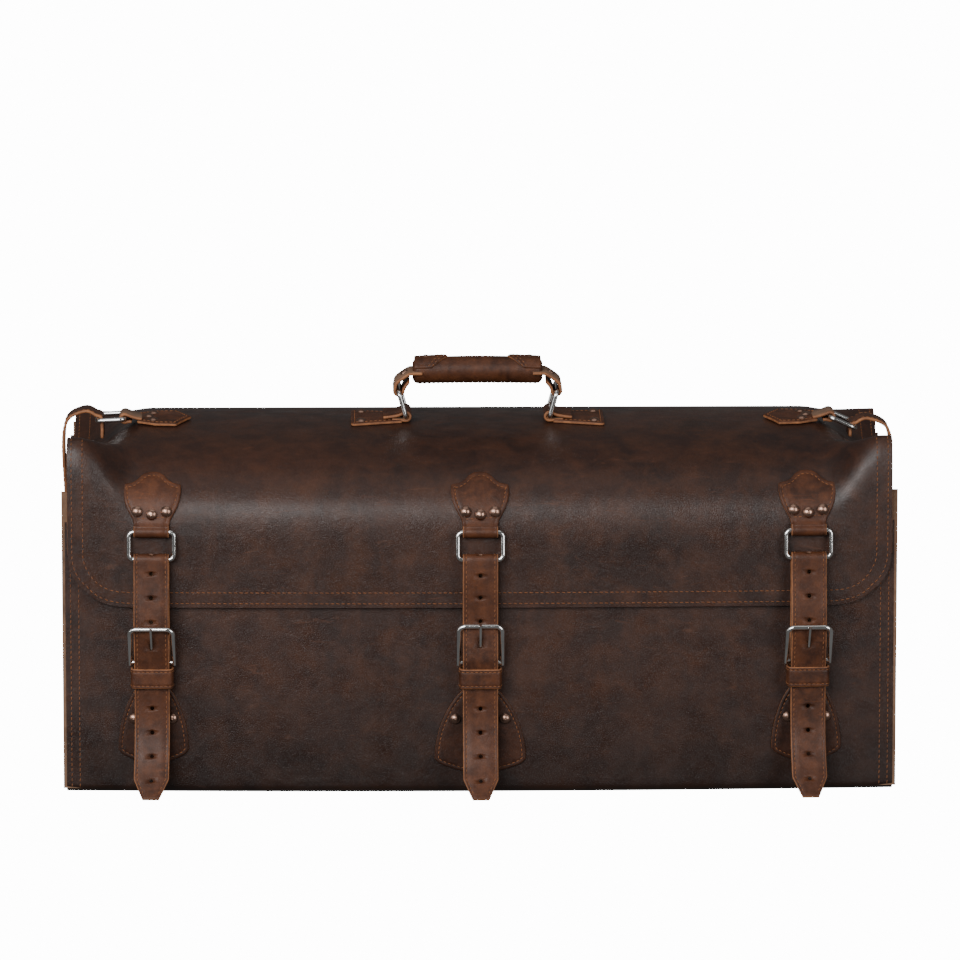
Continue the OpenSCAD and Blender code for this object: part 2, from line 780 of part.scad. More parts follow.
module rivets_case() {
  color("#b9aea8") for (i = [0 : 4]) at_closure(i)
    for (x = [-1, 1])
      translate([x * (i == 1 ? 39 : 30) * 0.55, -5.15, 66]) rotate([90, 0, 0])
        rivet(r = 4.2, rise = 2);
}
module rivets_flap_front() {
  color("#8e7468") for (i = FRONT) at_closure(i) shield_rivets(i) rivet();
}
module rivets_flap_top() {
  color("#8e7468") for (k = [0, 1]) mirrored(k) {
    handle_rivets() rivet();
    corner_rivets() rivet();
  }
}
module rivets_handle() {
  color("#8e7468") for (k = [0, 1]) mirrored(k) on_seat() {
    translate([45, 0, grip_z + grip_r + 0.05]) rivet(r = 4);
    strap_end_rivet() rivet(r = 3.6);
  }
}

// ---- The nodes ----------------------------------------------------------

function on(name) = node == "all" || node == name;

if (on("case_wrap")) case_wrap();
if (on("base_board")) base_board();
if (on("gusset_left")) gusset(-1);
if (on("gusset_right")) gusset(1);
if (on("flap_top")) flap_top();
if (on("flap_front")) flap_front();
if (on("flap_front_strip")) flap_front_strip();
if (on("flap_top_strips")) flap_top_strips();
for (i = [0 : 4]) {
  if (on(str("bell_tab_", CLOSURES[i]))) bell_tab(i);
  if (on(str("keeper_", CLOSURES[i]))) keeper(i);
  if (on(str("strap_", CLOSURES[i]))) strap(i);
  if (on(str("buckle_frame_", CLOSURES[i]))) buckle_frame(i);
  if (on(str("buckle_prong_", CLOSURES[i]))) buckle_prong(i);
}
for (i = FRONT) {
  if (on(str("shield_tab_", CLOSURES[i]))) shield_tab(i);
  if (on(str("front_ring_", CLOSURES[i]))) front_ring(i);
}
for (k = [0, 1]) {
  if (on(str("corner_tab_", SIDES[k]))) corner_tab(k);
  if (on(str("side_ring_", SIDES[k]))) side_ring(k);
  if (on(str("handle_tab_", SIDES[k]))) handle_tab(k);
  if (on(str("handle_ring_", SIDES[k]))) handle_ring(k);
}
if (on("handle_strap")) handle_strap();
if (on("handle_core")) handle_core();
if (on("handle_wrap")) handle_wrap();
if (on("rivets_case")) rivets_case();
if (on("rivets_flap_front")) rivets_flap_front();
if (on("rivets_flap_top")) rivets_flap_top();
if (on("rivets_handle")) rivets_handle();
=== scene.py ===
"""Looks of the leather garment bag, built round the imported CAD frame."""

import math
import random

import bpy
import numpy as np
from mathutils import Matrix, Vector
from mathutils.geometry import delaunay_2d_cdt


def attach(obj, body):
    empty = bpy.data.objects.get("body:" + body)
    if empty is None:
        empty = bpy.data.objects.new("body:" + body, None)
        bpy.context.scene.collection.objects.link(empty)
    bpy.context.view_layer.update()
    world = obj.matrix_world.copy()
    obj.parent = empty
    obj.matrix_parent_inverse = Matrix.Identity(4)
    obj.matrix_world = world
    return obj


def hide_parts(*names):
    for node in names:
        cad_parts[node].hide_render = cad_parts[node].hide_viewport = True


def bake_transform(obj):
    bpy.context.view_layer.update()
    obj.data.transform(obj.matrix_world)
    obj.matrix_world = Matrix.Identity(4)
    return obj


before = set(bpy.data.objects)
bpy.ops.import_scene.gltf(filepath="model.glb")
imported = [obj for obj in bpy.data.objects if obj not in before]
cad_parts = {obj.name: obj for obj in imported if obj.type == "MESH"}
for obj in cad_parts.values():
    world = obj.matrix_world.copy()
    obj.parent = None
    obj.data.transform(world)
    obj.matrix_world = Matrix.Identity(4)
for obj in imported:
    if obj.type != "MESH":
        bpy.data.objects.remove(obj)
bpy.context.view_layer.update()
rng = random.Random(7)
MM = 0.001

# ---- Sizes shared with the CAD part, in mm ------------------------------
BODY_W, BODY_D, BACK_H, FRONT_H = 712.0, 240.0, 285.0, 236.0
BULGE, LEATHER, END_X = 10.0, 3.0, 336.0
FLAP_HALF, FLAP_LOW, CORNER = 353.5, 163.0, 45.0
SHOULDER, RIDGE_Z, RIDGE_Y, END_DIP = 240.0, 307.0, 30.0, 70.0
FRONT_Y, BACK_Y = -BODY_D / 2, BODY_D / 2
FLAP_OUT = 2 * LEATHER - 0.7
GAP = 0.3
HEEL_Z, BUCKLE_H, STRAP_W, STRAP_T = 116.0, 34.0, 30.0, 2.6
RING_R, BAR_GAP = 2.0, 23.5
RING_BAR, RING_DROP = (10.4, 229.5), (3.0, 5.0, 3.0)
TILT = (24.0, 14.0, 24.0, 20.0, 20.0)
CLOSURE_X = (-281.0, 0.0, 281.0)
NAMES = ("left", "middle", "right", "side_left", "side_right")
SIDE_BAR, SIDE_SLOPE = (307.0, 309.0), (3.0, 24.0)
TAB_T = 2.5
TAB_WRAP = RING_R + 0.45 + TAB_T / 2
HEEL_OUT = 9.9


def sin(a):
    return math.sin(math.radians(a))


def cos(a):
    return math.cos(math.radians(a))


def run_length(p):
    """Length along a line of points, at each point."""
    seg = np.linalg.norm(np.diff(p, axis=0), axis=1)
    return np.concatenate([[0], np.cumsum(seg)])


def bulge_at(x):
    return BULGE * (1 - (x / (BODY_W / 2)) ** 2)


def smooth(v, a, b):
    t = min(1.0, max(0.0, (v - a) / (b - a)))
    return t * t * (3 - 2 * t)


# ---- The flap's outer face ----------------------------------------------
UP, ARCH, BACK = 2, 10, 6
SPLIT, LAST = 7, 18


def low_edge(x):
    c = max(0.0, abs(x) - FLAP_HALF + CORNER)
    return FLAP_LOW + CORNER - math.sqrt(max(0.0, CORNER * CORNER - c * c))


def dome(x, i):
    """The domed section at x, step i, as (y, z)."""
    fy = FRONT_Y - FLAP_OUT - bulge_at(x)
    if i < UP:
        low = low_edge(x)
        return np.array([fy, low + (SHOULDER - low) * i / UP])
    if i <= UP + ARCH:
        a = (i - UP) * 90 / ARCH
        y = RIDGE_Y - (RIDGE_Y - fy) * max(0, cos(a))
        return np.array([y, SHOULDER + (RIDGE_Z - SHOULDER) * sin(a)])
    b = (i - UP - ARCH) * 90 / BACK
    top = RIDGE_Z - BACK_H - GAP
    y = RIDGE_Y + (BACK_Y + GAP - RIDGE_Y) * sin(b) ** 0.9
    return np.array([y, BACK_H + GAP + top * max(0, cos(b)) ** 0.9])


def sunk(x, i):
    """The section at the flap's ends: raised front corner, sunken middle."""
    if i <= UP:
        return dome(x, i)
    fy = FRONT_Y - FLAP_OUT - bulge_at(x)
    rise, crest = 89.0, 20.0
    valley = SHOULDER + rise - END_DIP
    if i <= UP + ARCH:
        a = (i - UP) * 90 / ARCH
        z = SHOULDER + rise * sin(a) ** 0.4 - END_DIP * sin(a) ** 6
        return np.array([fy * max(0, cos(a)) ** 0.5, z])
    b = (i - UP - ARCH) * 90 / BACK
    dip = BACK_H + crest - valley
    c = max(0, cos(b))
    z = BACK_H + GAP + crest * c**0.35 - dip * c**4
    return np.array([(BACK_Y + GAP) * sin(b) ** 0.6, z])


def section(x, i):
    """The flap's section; the end's share starts later behind the shields."""
    start = 304 - 18 * smooth(i, SPLIT - 1, SPLIT + 1)
    full = 338 + 30 * smooth(i, SPLIT + 1, SPLIT + 3)
    w = smooth(abs(x), start, full)
    if w <= 0:
        return dome(x, i)
    return (1 - w) * dome(x, i) + w * sunk(x, i)


EASED = {}
SIDE_WEIGHTS = ((-1, 0.15), (-0.5, 0.22), (0, 0.26), (0.5, 0.22), (1, 0.15))


def skin(x, i):
    """The flap's outer face, with the way to its raised ends eased sideways."""
    x = abs(x)
    reach = min(15.0, x - 288, 352 - x)
    if reach <= 1:
        return eased(x, i)
    return sum(eased(x + reach * k, i) * w for k, w in SIDE_WEIGHTS)


def eased(x, i):
    """The section with its bends eased along its length, as leather bends."""
    key = round(x * 2) / 2
    if key not in EASED:
        EASED[key] = ease_section(key)
    steps, q = EASED[key]
    return np.array([np.interp(i, steps, q[:, k]) for k in (0, 1)])


def ease_section(x):
    """Section steps and their points after a Gaussian blur along the section."""
    steps = np.linspace(0, LAST, 541)
    p = np.array([section(x, k) for k in steps])
    s = run_length(p)
    t = np.linspace(0, s[-1], int(s[-1] / 1.5))
    q = np.stack([np.interp(t, s, p[:, k]) for k in (0, 1)], axis=1)
    half = 26
    u = np.arange(-half, half + 1) * t[1]
    width = 13.0 - 6.0 * smooth(x, 300, 330)
    g = np.exp(-0.5 * (u / width) ** 2)
    g /= g.sum()
    first = 2 * q[0] - q[half:0:-1]
    last = 2 * q[-1] - q[-2 : -half - 2 : -1]
    whole = np.concatenate([first, q, last])
    q = np.stack([np.convolve(whole[:, k], g, "valid") for k in (0, 1)], axis=1)
    return steps, np.stack([np.interp(s, t, q[:, k]) for k in (0, 1)], axis=1)


def skin_normal(x, i):
    d = skin(x, min(LAST, i + 0.4)) - skin(x, max(0, i - 0.4))
    n = np.array([-d[1], d[0]])
    return n / np.linalg.norm(n)


def top_z(y):
    u = abs(y - RIDGE_Y) / (RIDGE_Y - FRONT_Y + FLAP_OUT + BULGE)
    return SHOULDER + (RIDGE_Z - SHOULDER) * math.sqrt(1 - u * u)


def top_slope(y):
    return math.degrees(math.atan((top_z(y + 1) - top_z(y - 1)) / 2))


SEAT_Z, SEAT_SLOPE = top_z(0), top_slope(0)


# ---- Materials -----------------------------------------------------------
class Net:
    """A small helper round one material's node tree."""

    def __init__(self, name):
        self.mat = bpy.data.materials.new(name)
        self.mat.use_nodes = True
        self.tree = self.mat.node_tree
        self.tree.nodes.clear()
        self.out = self.add("ShaderNodeOutputMaterial")
        self.bsdf = self.add("ShaderNodeBsdfPrincipled")
        self.link(self.bsdf, "BSDF", self.out, "Surface")
        coord = self.add("ShaderNodeTexCoord")
        self.coord = coord.outputs["Object"]

    def add(self, kind):
        return self.tree.nodes.new(kind)

    def link(self, a, out, b, inp):
        self.tree.links.new(a.outputs[out], b.inputs[inp])

    def noise(self, scale, detail=4.0, rough=0.55, stretch=(1, 1, 1), distort=0.0):
        m = self.add("ShaderNodeMapping")
        m.inputs["Scale"].default_value = stretch
        self.tree.links.new(self.coord, m.inputs["Vector"])
        n = self.add("ShaderNodeTexNoise")
        n.inputs["Scale"].default_value = scale
        n.inputs["Detail"].default_value = detail
        n.inputs["Roughness"].default_value = rough
        n.inputs["Distortion"].default_value = distort
        self.tree.links.new(m.outputs["Vector"], n.inputs["Vector"])
        return n.outputs["Fac"]

    def cells(self, scale):
        v = self.add("ShaderNodeTexVoronoi")
        v.feature = "DISTANCE_TO_EDGE"
        v.inputs["Scale"].default_value = scale
        self.tree.links.new(self.coord, v.inputs["Vector"])
        return v.outputs["Distance"]

    def range(self, fac, a, b, lo, hi):
        r = self.add("ShaderNodeMapRange")
        r.inputs["From Min"].default_value = a
        r.inputs["From Max"].default_value = b
        r.inputs["To Min"].default_value = lo
        r.inputs["To Max"].default_value = hi
        self.tree.links.new(fac, r.inputs["Value"])
        return r.outputs["Result"]

    def math(self, op, a, b):
        m = self.add("ShaderNodeMath")
        m.operation = op
        for k, v in enumerate((a, b)):
            if isinstance(v, (int, float)):
                m.inputs[k].default_value = v
            else:
                self.tree.links.new(v, m.inputs[k])
        return m.outputs["Value"]

    def mix(self, fac, a, b):
        m = self.add("ShaderNodeMix")
        m.data_type = "RGBA"
        for k, v in ((0, fac), (6, a), (7, b)):
            if isinstance(v, (int, float)):
                m.inputs[k].default_value = v
            elif isinstance(v, tuple):
                m.inputs[k].default_value = (*v, 1.0)
            else:
                self.tree.links.new(v, m.inputs[k])
        return m.outputs[2]

    def bump(self, height, strength, distance, normal=None):
        b = self.add("ShaderNodeBump")
        b.inputs["Strength"].default_value = strength
        b.inputs["Distance"].default_value = distance
        self.tree.links.new(height, b.inputs["Height"])
        if normal is not None:
            self.tree.links.new(normal, b.inputs["Normal"])
        return b.outputs["Normal"]

    def set(self, socket, value):
        s = self.bsdf.inputs[socket]
        if isinstance(value, (int, float)):
            s.default_value = value
        elif isinstance(value, tuple):
            s.default_value = (*value, 1.0)
        else:
            self.tree.links.new(value, s)


def leather(name, tones, low=0.30, high=0.52, patch=9.0, painted_floor_shade=0.0, shine=0.40):
    """Waxed pull-up leather: mottled colour, burnished patches, scuffs and pores, with optional painted
    shade that darkens it towards the floor.
    """
    n = Net(name)
    dark, base, light = tones
    big = n.range(n.noise(patch, 3, 0.6, distort=0.6), 0.36, 0.66, 0, 1)
    mid = n.range(n.noise(patch * 5.3, 5, 0.62, distort=0.3), 0.40, 0.72, 0, 1)
    fine = n.range(n.noise(patch * 32, 4, 0.7), 0.3, 0.75, 0, 1)
    streak = n.range(n.noise(26, 6, 0.7, stretch=(1, 1, 0.18), distort=0.8), 0.54, 0.74, 0, 1)
    scuff = n.range(n.noise(90, 5, 0.72, stretch=(0.35, 1, 1.4), distort=1.4), 0.60, 0.72, 0, 1)
    col = n.mix(big, dark, base)
    col = n.mix(n.math("MULTIPLY", mid, 0.55), col, light)
    col = n.mix(n.math("MULTIPLY", streak, 0.35), col, light)
    col = n.mix(n.math("MULTIPLY", fine, 0.30), col, dark)
    col = n.mix(n.math("MULTIPLY", scuff, 0.30), col, tuple(min(1, 1.7 * c) for c in light))
    # Painted shade: over the lowest 0.11 m the colour darkens towards the floor, standing in for the shade
    # where the case meets the floor
    if painted_floor_shade:
        sep = n.add("ShaderNodeSeparateXYZ")
        n.tree.links.new(n.coord, sep.inputs[0])
        down = n.range(sep.outputs["Z"], 0.0, 0.11, painted_floor_shade, 0.0)
        col = n.mix(down, col, tuple(0.35 * c for c in dark))
    n.set("Base Color", col)
    rough = n.range(n.noise(patch * 4, 5, 0.6), 0.3, 0.7, low, high)
    n.set("Roughness", n.math("ADD", rough, n.math("MULTIPLY", scuff, 0.12)))
    n.set("Specular IOR Level", shine)
    n.set("Coat Weight", 0.06)
    n.set("Coat Roughness", 0.28)
    pores = n.range(n.cells(720), 0.0, 0.10, 0.0, 1.0)
    grain_map = n.math("MULTIPLY", pores, n.range(n.noise(1500, 2, 0.5), 0.3, 0.7, 0.6, 1.0))
    creases = n.noise(34, 6, 0.62, distort=0.5)
    first = n.bump(creases, 0.35, 0.0022)
    second = n.bump(grain_map, 0.30, 0.00035, first)
    n.set("Normal", second)
    return n.mat


def raw_edge(name, a, b, rough=0.62):
    """Fibrous leather: cut edges, the suede side, thread and board."""
    n = Net(name)
    band = n.noise(160, 4, 0.6)
    col = n.mix(n.range(band, 0.35, 0.7, 0, 1), a, b)
    dirt = n.range(n.noise(30, 4, 0.6), 0.5, 0.75, 0, 0.6)
    col = n.mix(dirt, col, tuple(0.3 * c for c in a))
    n.set("Base Color", col)
    n.set("Roughness", rough)
    n.set("Normal", n.bump(n.noise(900, 3, 0.6), 0.4, 0.0004))
    return n.mat


def metal(name, colour, low, high, scratch=0.05):
    """Plated metal with worn patches; low and high bound its roughness."""
    n = Net(name)
    wear = n.noise(45, 5, 0.65)
    col = n.mix(n.range(wear, 0.45, 0.75, 0, 1), colour, tuple(0.72 * c for c in colour))
    n.set("Base Color", col)
    n.set("Metallic", 1.0)
    n.set("Roughness", n.range(n.noise(120, 5, 0.6), 0.3, 0.7, low, high))
    n.set("Normal", n.bump(n.noise(600, 4, 0.7, stretch=(1, 0.3, 1)), scratch, 0.0002))
    return n.mat


# The case leather carries painted shade that darkens it towards the floor
M_CASE = leather(
    "case_leather",
    ((0.0160, 0.0062, 0.0042), (0.031, 0.0118, 0.0068), (0.074, 0.0255, 0.0105)),
    painted_floor_shade=0.7,
)
M_FLAP = leather(
    "flap_leather",
    ((0.0165, 0.0066, 0.0044), (0.033, 0.0125, 0.0072), (0.076, 0.0265, 0.0112)),
    low=0.29,
    high=0.48,
)
M_STRAP = leather(
    "strap_leather",
    ((0.030, 0.0098, 0.0044), (0.068, 0.0220, 0.0090), (0.150, 0.0500, 0.0185)),
    low=0.38,
    high=0.58,
    patch=19.0,
    shine=0.26,
)
M_BELL = leather(
    "tab_leather",
    ((0.0165, 0.0058, 0.0032), (0.034, 0.0112, 0.0054), (0.072, 0.0240, 0.0100)),
    low=0.38,
    high=0.58,
    patch=22.0,
    shine=0.26,
)
M_SUEDE = raw_edge("suede", (0.145, 0.078, 0.045), (0.205, 0.115, 0.068), 0.9)
M_EDGE = raw_edge("raw_edge", (0.165, 0.060, 0.022), (0.315, 0.120, 0.042))
M_DARK_EDGE = raw_edge("burnished_edge", (0.070, 0.030, 0.016), (0.150, 0.062, 0.028), 0.5)
M_THREAD = raw_edge("thread", (0.150, 0.052, 0.016), (0.250, 0.088, 0.026), 0.75)
M_NICKEL = metal("nickel", (0.80, 0.79, 0.77), 0.08, 0.20)
M_RIVET = metal("bronze", (0.33, 0.20, 0.15), 0.24, 0.40, 0.10)
M_BOARD = raw_edge("board", (0.20, 0.16, 0.11), (0.27, 0.22, 0.16), 0.9)

# Grain side, inner side or cut edge, in the order that each builder takes them
CASE_LAYERS = [M_CASE, M_SUEDE, M_EDGE]
FLAP_LAYERS = [M_FLAP, M_SUEDE, M_EDGE]
STRAP_LAYERS = [M_STRAP, M_EDGE, M_SUEDE]
BELL_LAYERS = [M_BELL, M_EDGE, M_SUEDE]


# ---- Mesh builders ------------------------------------------------------
def new_object(name, verts, faces, mats, index=None):
    """verts in mm; index gives each face's material."""
    mesh = bpy.data.meshes.new(name)
    mesh.from_pydata([tuple(float(c) * MM for c in v) for v in verts], [], faces)
    for m in mats:
        mesh.materials.append(m)
    if index is not None:
        mesh.polygons.foreach_set("material_index", np.array(index, np.int32))
    mesh.polygons.foreach_set("use_smooth", np.ones(len(faces), bool))
    mesh.validate()
    mesh.update()
    o = bpy.data.objects.new(name, mesh)
    bpy.context.scene.collection.objects.link(o)
    return o


def shell(name, grid, thick, mats, body, away=(0.0, 0.0, 150.0)):
    """A sheet from a grid of outer points: outer face, inner face and raw rims.

    The outer face looks away from the point `away`."""
    g = np.array(grid, float)
    nu, nv = g.shape[:2]
    du = np.gradient(g, axis=0)
    dv = np.gradient(g, axis=1)
    n = np.cross(du, dv)
    n /= np.maximum(np.linalg.norm(n, axis=2, keepdims=True), 1e-9)
    a, b = nu // 2, nv // 2
    flip = np.dot(n[a, b], g[a, b] - np.array(away)) < 0
    if flip:
        n = -n
    inner = g - n * thick
    verts = list(g.reshape(-1, 3)) + list(inner.reshape(-1, 3))
    m = nu * nv
    faces, idx = [], []

    def at(a, b):
        return a * nv + b

    for a in range(nu - 1):
        for b in range(nv - 1):
            q = [at(a, b), at(a + 1, b), at(a + 1, b + 1), at(a, b + 1)]
            if flip:
                q.reverse()
            faces.append(q)
            idx.append(0)
            faces.append([k + m for k in reversed(q)])
            idx.append(1)
    rim = [(at(a, 0), at(a + 1, 0)) for a in range(nu - 1)]
    rim += [(at(nu - 1, b), at(nu - 1, b + 1)) for b in range(nv - 1)]
    rim += [(at(a, nv - 1), at(a - 1, nv - 1)) for a in range(nu - 1, 0, -1)]
    rim += [(at(0, b), at(0, b - 1)) for b in range(nv - 1, 0, -1)]
    base = len(verts)
    loop = [r[0] for r in rim]
    k = len(loop)
    # A middle row round the rim, pushed out a little so the cut edge looks round
    for v in loop:
        a, b = divmod(v, nv)
        along = du[a, b] / max(1e-9, np.linalg.norm(du[a, b]))
        across = dv[a, b] / max(1e-9, np.linalg.norm(dv[a, b]))
        out = along * ((a == nu - 1) - (a == 0)) + across * ((b == nv - 1) - (b == 0))
        verts.append(g[a, b] - n[a, b] * thick * 0.5 + out * 0.35)
    for j in range(k):
        j2 = (j + 1) % k
        v1, v2 = loop[j], loop[j2]
        for q in ([v1, v2, base + j2, base + j], [base + j, base + j2, v2 + m, v1 + m]):
            if not flip:
                q = q[::-1]
            faces.append(q)
            idx.append(2)
    o = new_object(name, verts, faces, mats, idx)
    sharp_rims(o)
    if body:
        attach(o, body)
    return o


def sharp_rims(o):
    """Marks the edges between a face and its cut edge as sharp."""
    mesh = o.data
    mat_of = [p.material_index for p in mesh.polygons]
    pairs = {}
    for p in mesh.polygons:
        for e in p.edge_keys:
            pairs.setdefault(e, []).append(p.index)
    sharp = []
    for e in mesh.edges:
        f = pairs.get(tuple(sorted(e.vertices)), [])
        sharp.append(len(f) == 2 and mat_of[f[0]] != mat_of[f[1]])
    att = mesh.attributes.get("sharp_edge") or mesh.attributes.new("sharp_edge", "BOOLEAN", "EDGE")
    att.data.foreach_set("value", np.array(sharp, bool))


def resample(points, step):
    """Rounds a centre line's corners a little and spaces it evenly."""
    p = np.array(points, float)
    for _ in range(3):
        q = [p[0]]
        for a, b in zip(p[:-1], p[1:]):
            q += [0.75 * a + 0.25 * b, 0.25 * a + 0.75 * b]
        q.append(p[-1])
        p = np.array(q)
    s = run_length(p)
    count = max(2, int(round(s[-1] / step)) + 1)
    t = np.linspace(0, s[-1], count)
    return np.stack([np.interp(t, s, p[:, k]) for k in range(p.shape[1])], axis=1), t


def strip(
    name, points, wdir, width, thick, mats, body, side=1, step=1.6, taper=None, groove=2.8, holes=()
):
    """A leather strip along 3-D points; wdir is the direction of its width."""
    p, s = resample(points, step)
    length = s[-1]
    t = np.gradient(p, axis=0)
    t /= np.linalg.norm(t, axis=1, keepdims=True)
    w = np.array(wdir, float)
    n = np.cross(t, w) * side
    n /= np.linalg.norm(n, axis=1, keepdims=True)
    h = width / 2
    r = min(0.7, thick * 0.3)
    across = [-h + r, -h + groove - 0.6, -h + groove, -h + groove + 0.6, -h * 0.45, 0]
    across = across + [-a for a in reversed(across[:-1])]
    prof = []
    for a in across:
        dip = 0.3 if abs(abs(a) - (h - groove)) < 0.01 else 0.0
        prof.append((a, thick / 2 - dip))
    prof += [(h - 0.1, thick / 2 - 0.45), (h + 0.12, 0.0), (h - 0.1, -thick / 2 + 0.45)]
    prof += [(a, -thick / 2) for a in (h - r, 0, -h + r)]
    prof += [(-h + 0.1, -thick / 2 + 0.45), (-h - 0.12, 0.0), (-h + 0.1, thick / 2 - 0.45)]
    m = len(prof)
    verts, faces, idx = [], [], []
    widths = [1.0 if taper is None else taper(length - q) for q in s]
    for k in range(len(p)):
        for a, b in prof:
            verts.append(p[k] + w * a * widths[k] + n[k] * b)
    kinds = []
    for j in range(m):
        a1, a2 = prof[j], prof[(j + 1) % m]
        flat = max(abs(a1[0]), abs(a2[0])) <= h - r + 1e-6
        if flat and min(a1[1], a2[1]) > 0:
            kinds.append(0)
        elif flat and max(a1[1], a2[1]) < 0:
            kinds.append(2)
        else:
            kinds.append(1)
    for k in range(len(p) - 1):
        for j in range(m):
            j2 = (j + 1) % m
            q = [k * m + j, k * m + j2, (k + 1) * m + j2, (k + 1) * m + j]
            faces.append(q if side < 0 else q[::-1])
            idx.append(kinds[j])
    faces.append(list(range(m)) if side > 0 else list(range(m))[::-1])
    faces.append([(len(p) - 1) * m + j for j in range(m)][:: -1 if side > 0 else 1])
    idx += [1, 1]
    o = new_object(name, verts, faces, mats, idx)
    if holes:
        punch(o, holes)
    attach(o, body)
    return o, {"p": p, "n": n, "s": s, "w": w, "half": h, "widths": widths, "thick": thick}


def punch(o, holes):
    """Cuts round holes; each is (centre, direction, radius, length) in mm."""
    verts, faces = [], []
    for c, d, r, length in holes:
        d = Vector(d).normalized()
        u = d.orthogonal().normalized()
        v = d.cross(u)
        base = len(verts)
        k = 20
        for e in (-length / 2, length / 2):
            for a in range(k):
                t = 2 * math.pi * a / k
                verts.append(Vector(c) + d * e + (u * math.cos(t) + v * math.sin(t)) * r)
        for a in range(k):
            b = (a + 1) % k
            faces.append([base + a, base + b, base + k + b, base + k + a])
        faces.append([base + a for a in reversed(range(k))])
        faces.append([base + k + a for a in range(k)])
    cutter = new_object("cutter", verts, faces, [M_DARK_EDGE])
    mod = o.modifiers.new("holes", "BOOLEAN")
    mod.operation = "DIFFERENCE"
    mod.solver = "EXACT"
    mod.material_mode = "TRANSFER"
    mod.object = cutter
    bpy.context.view_layer.update()
    dep = bpy.context.evaluated_depsgraph_get()
    mesh = bpy.data.meshes.new_from_object(o.evaluated_get(dep))
    o.modifiers.clear()
    o.data = mesh
    bpy.data.objects.remove(cutter)


def outline_offset(loop, d):
    """Points of a closed 2-D loop moved inward by d (loop runs counter-clockwise)."""
    p = np.array(loop)
    t = np.roll(p, -1, axis=0) - np.roll(p, 1, axis=0)
    t /= np.maximum(np.linalg.norm(t, axis=1, keepdims=True), 1e-9)
    return p + np.stack([-t[:, 1], t[:, 0]], axis=1) * d


def even_loop(points, step):
    """The closed outline's points at even distances."""
    p = np.array(list(points) + [points[0]], float)
    s = run_length(p)
    t = np.linspace(0, s[-1], max(8, int(s[-1] / step)), endpoint=False)
    return np.stack([np.interp(t, s, p[:, k]) for k in (0, 1)], axis=1)


def inside_distance(q, loop):
    """Distance from q to the outline, negative outside it."""
    a = loop
    b = np.roll(loop, -1, axis=0)
    ab = b - a
    t = np.clip(((q - a) * ab).sum(1) / np.maximum((ab * ab).sum(1), 1e-9), 0, 1)
    d = np.linalg.norm(a + ab * t[:, None] - q, axis=1).min()
    cross = 0
    for (x1, y1), (x2, y2) in zip(a, b):
        if (y1 > q[1]) != (y2 > q[1]) and q[0] < (x2 - x1) * (q[1] - y1) / (y2 - y1) + x1:
            cross += 1
    return d if cross % 2 else -d


def patch(name, outline, place, thick, mats, body, step=1.2, cell=3.0, groove=3.0):
    """A flat piece of leather laid on a surface; place(u, v, h) gives its 3-D point."""
    loop = even_loop(outline, step)
    area = 0.5 * (loop[:, 0] * np.roll(loop[:, 1], -1) - loop[:, 1] * np.roll(loop[:, 0], -1)).sum()
    if area < 0:
        loop = loop[::-1]
    k = len(loop)
    rings = [(0.0, thick - 0.75), (0.35, thick - 0.22), (0.9, thick)]
    if groove:
        rings += [(groove - 0.6, thick), (groove, thick - 0.3), (groove + 0.6, thick)]
    pts, heights = [], []
    for d, h in rings:
        for q in outline_offset(loop, d):
            if d == 0 or inside_distance(q, loop) > d * 0.82:
                pts.append(q)
                heights.append(h)
    lo, hi = loop.min(0), loop.max(0)
    for a in np.arange(lo[0], hi[0], cell):
        for b in np.arange(lo[1], hi[1], cell):
            q = np.array([a, b])
            if inside_distance(q, loop) > (groove or 0.9) + 1.4:
                pts.append(q)
                heights.append(thick)
    res = delaunay_2d_cdt([Vector(q) for q in pts], [], [list(range(k))], 1, 1e-4)
    verts2, faces2, origin = res[0], res[2], res[3]
    verts = []
    for v, src in zip(verts2, origin):
        h = heights[src[0]] if src else thick
        verts.append(place(v.x, v.y, h))
    faces = [list(f) for f in faces2]
    idx = [0] * len(faces)
    first = {}
    for j, src in enumerate(origin):
        for q in src:
            if q < k:
                first[q] = j
    base = len(verts)
    mid = len(verts) + k
    for q in outline_offset(loop, -0.12):
        verts.append(place(q[0], q[1], (thick - 0.75) * 0.55))
    for q in loop:
        verts.append(place(q[0], q[1], 0.0))
    for j in range(k):
        j2 = (j + 1) % k
        if j in first and j2 in first:
            faces.append([first[j2], first[j], base + j, base + j2])
            idx.append(1)
        faces.append([base + j2, base + j, mid + j, mid + j2])
        idx.append(1)
    faces.append([mid + j for j in reversed(range(k))])
    idx.append(2)
    o = new_object(name, verts, faces, mats, idx)
    sharp_rims(o)
    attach(o, body)
    return o, loop


# ---- Stitches: one mesh for each body -----------------------------------
STITCHES = {}
THREAD_WIDE, THREAD_HIGH = 0.72, 0.5


def stitch_path(body, pts, normals, pitch=4.4, length=3.1):
    """Places slightly slanted stitches evenly along a 3-D line."""
    p = np.array(pts, float)
    nn = np.array(normals, float)
    s = run_length(p)
    count = int(s[-1] / pitch)

    def at(a, line):
        return np.array([np.interp(a, s, line[:, j]) for j in range(3)])

    for k in range(count):
        a = (k + 0.5) * s[-1] / count
        t = at(min(s[-1], a + 0.6), p) - at(max(0, a - 0.6), p)
        if np.linalg.norm(t) < 1e-9:
            continue
        t /= np.linalg.norm(t)
        m = at(a, nn)
        m /= max(1e-9, np.linalg.norm(m))
        side = np.cross(t, m)
        t = t + side * rng.uniform(-0.09, 0.09) + side * 0.10
        t /= np.linalg.norm(t)
        STITCHES.setdefault(body, []).append((at(a, p), t, m, length * rng.uniform(0.92, 1.05)))


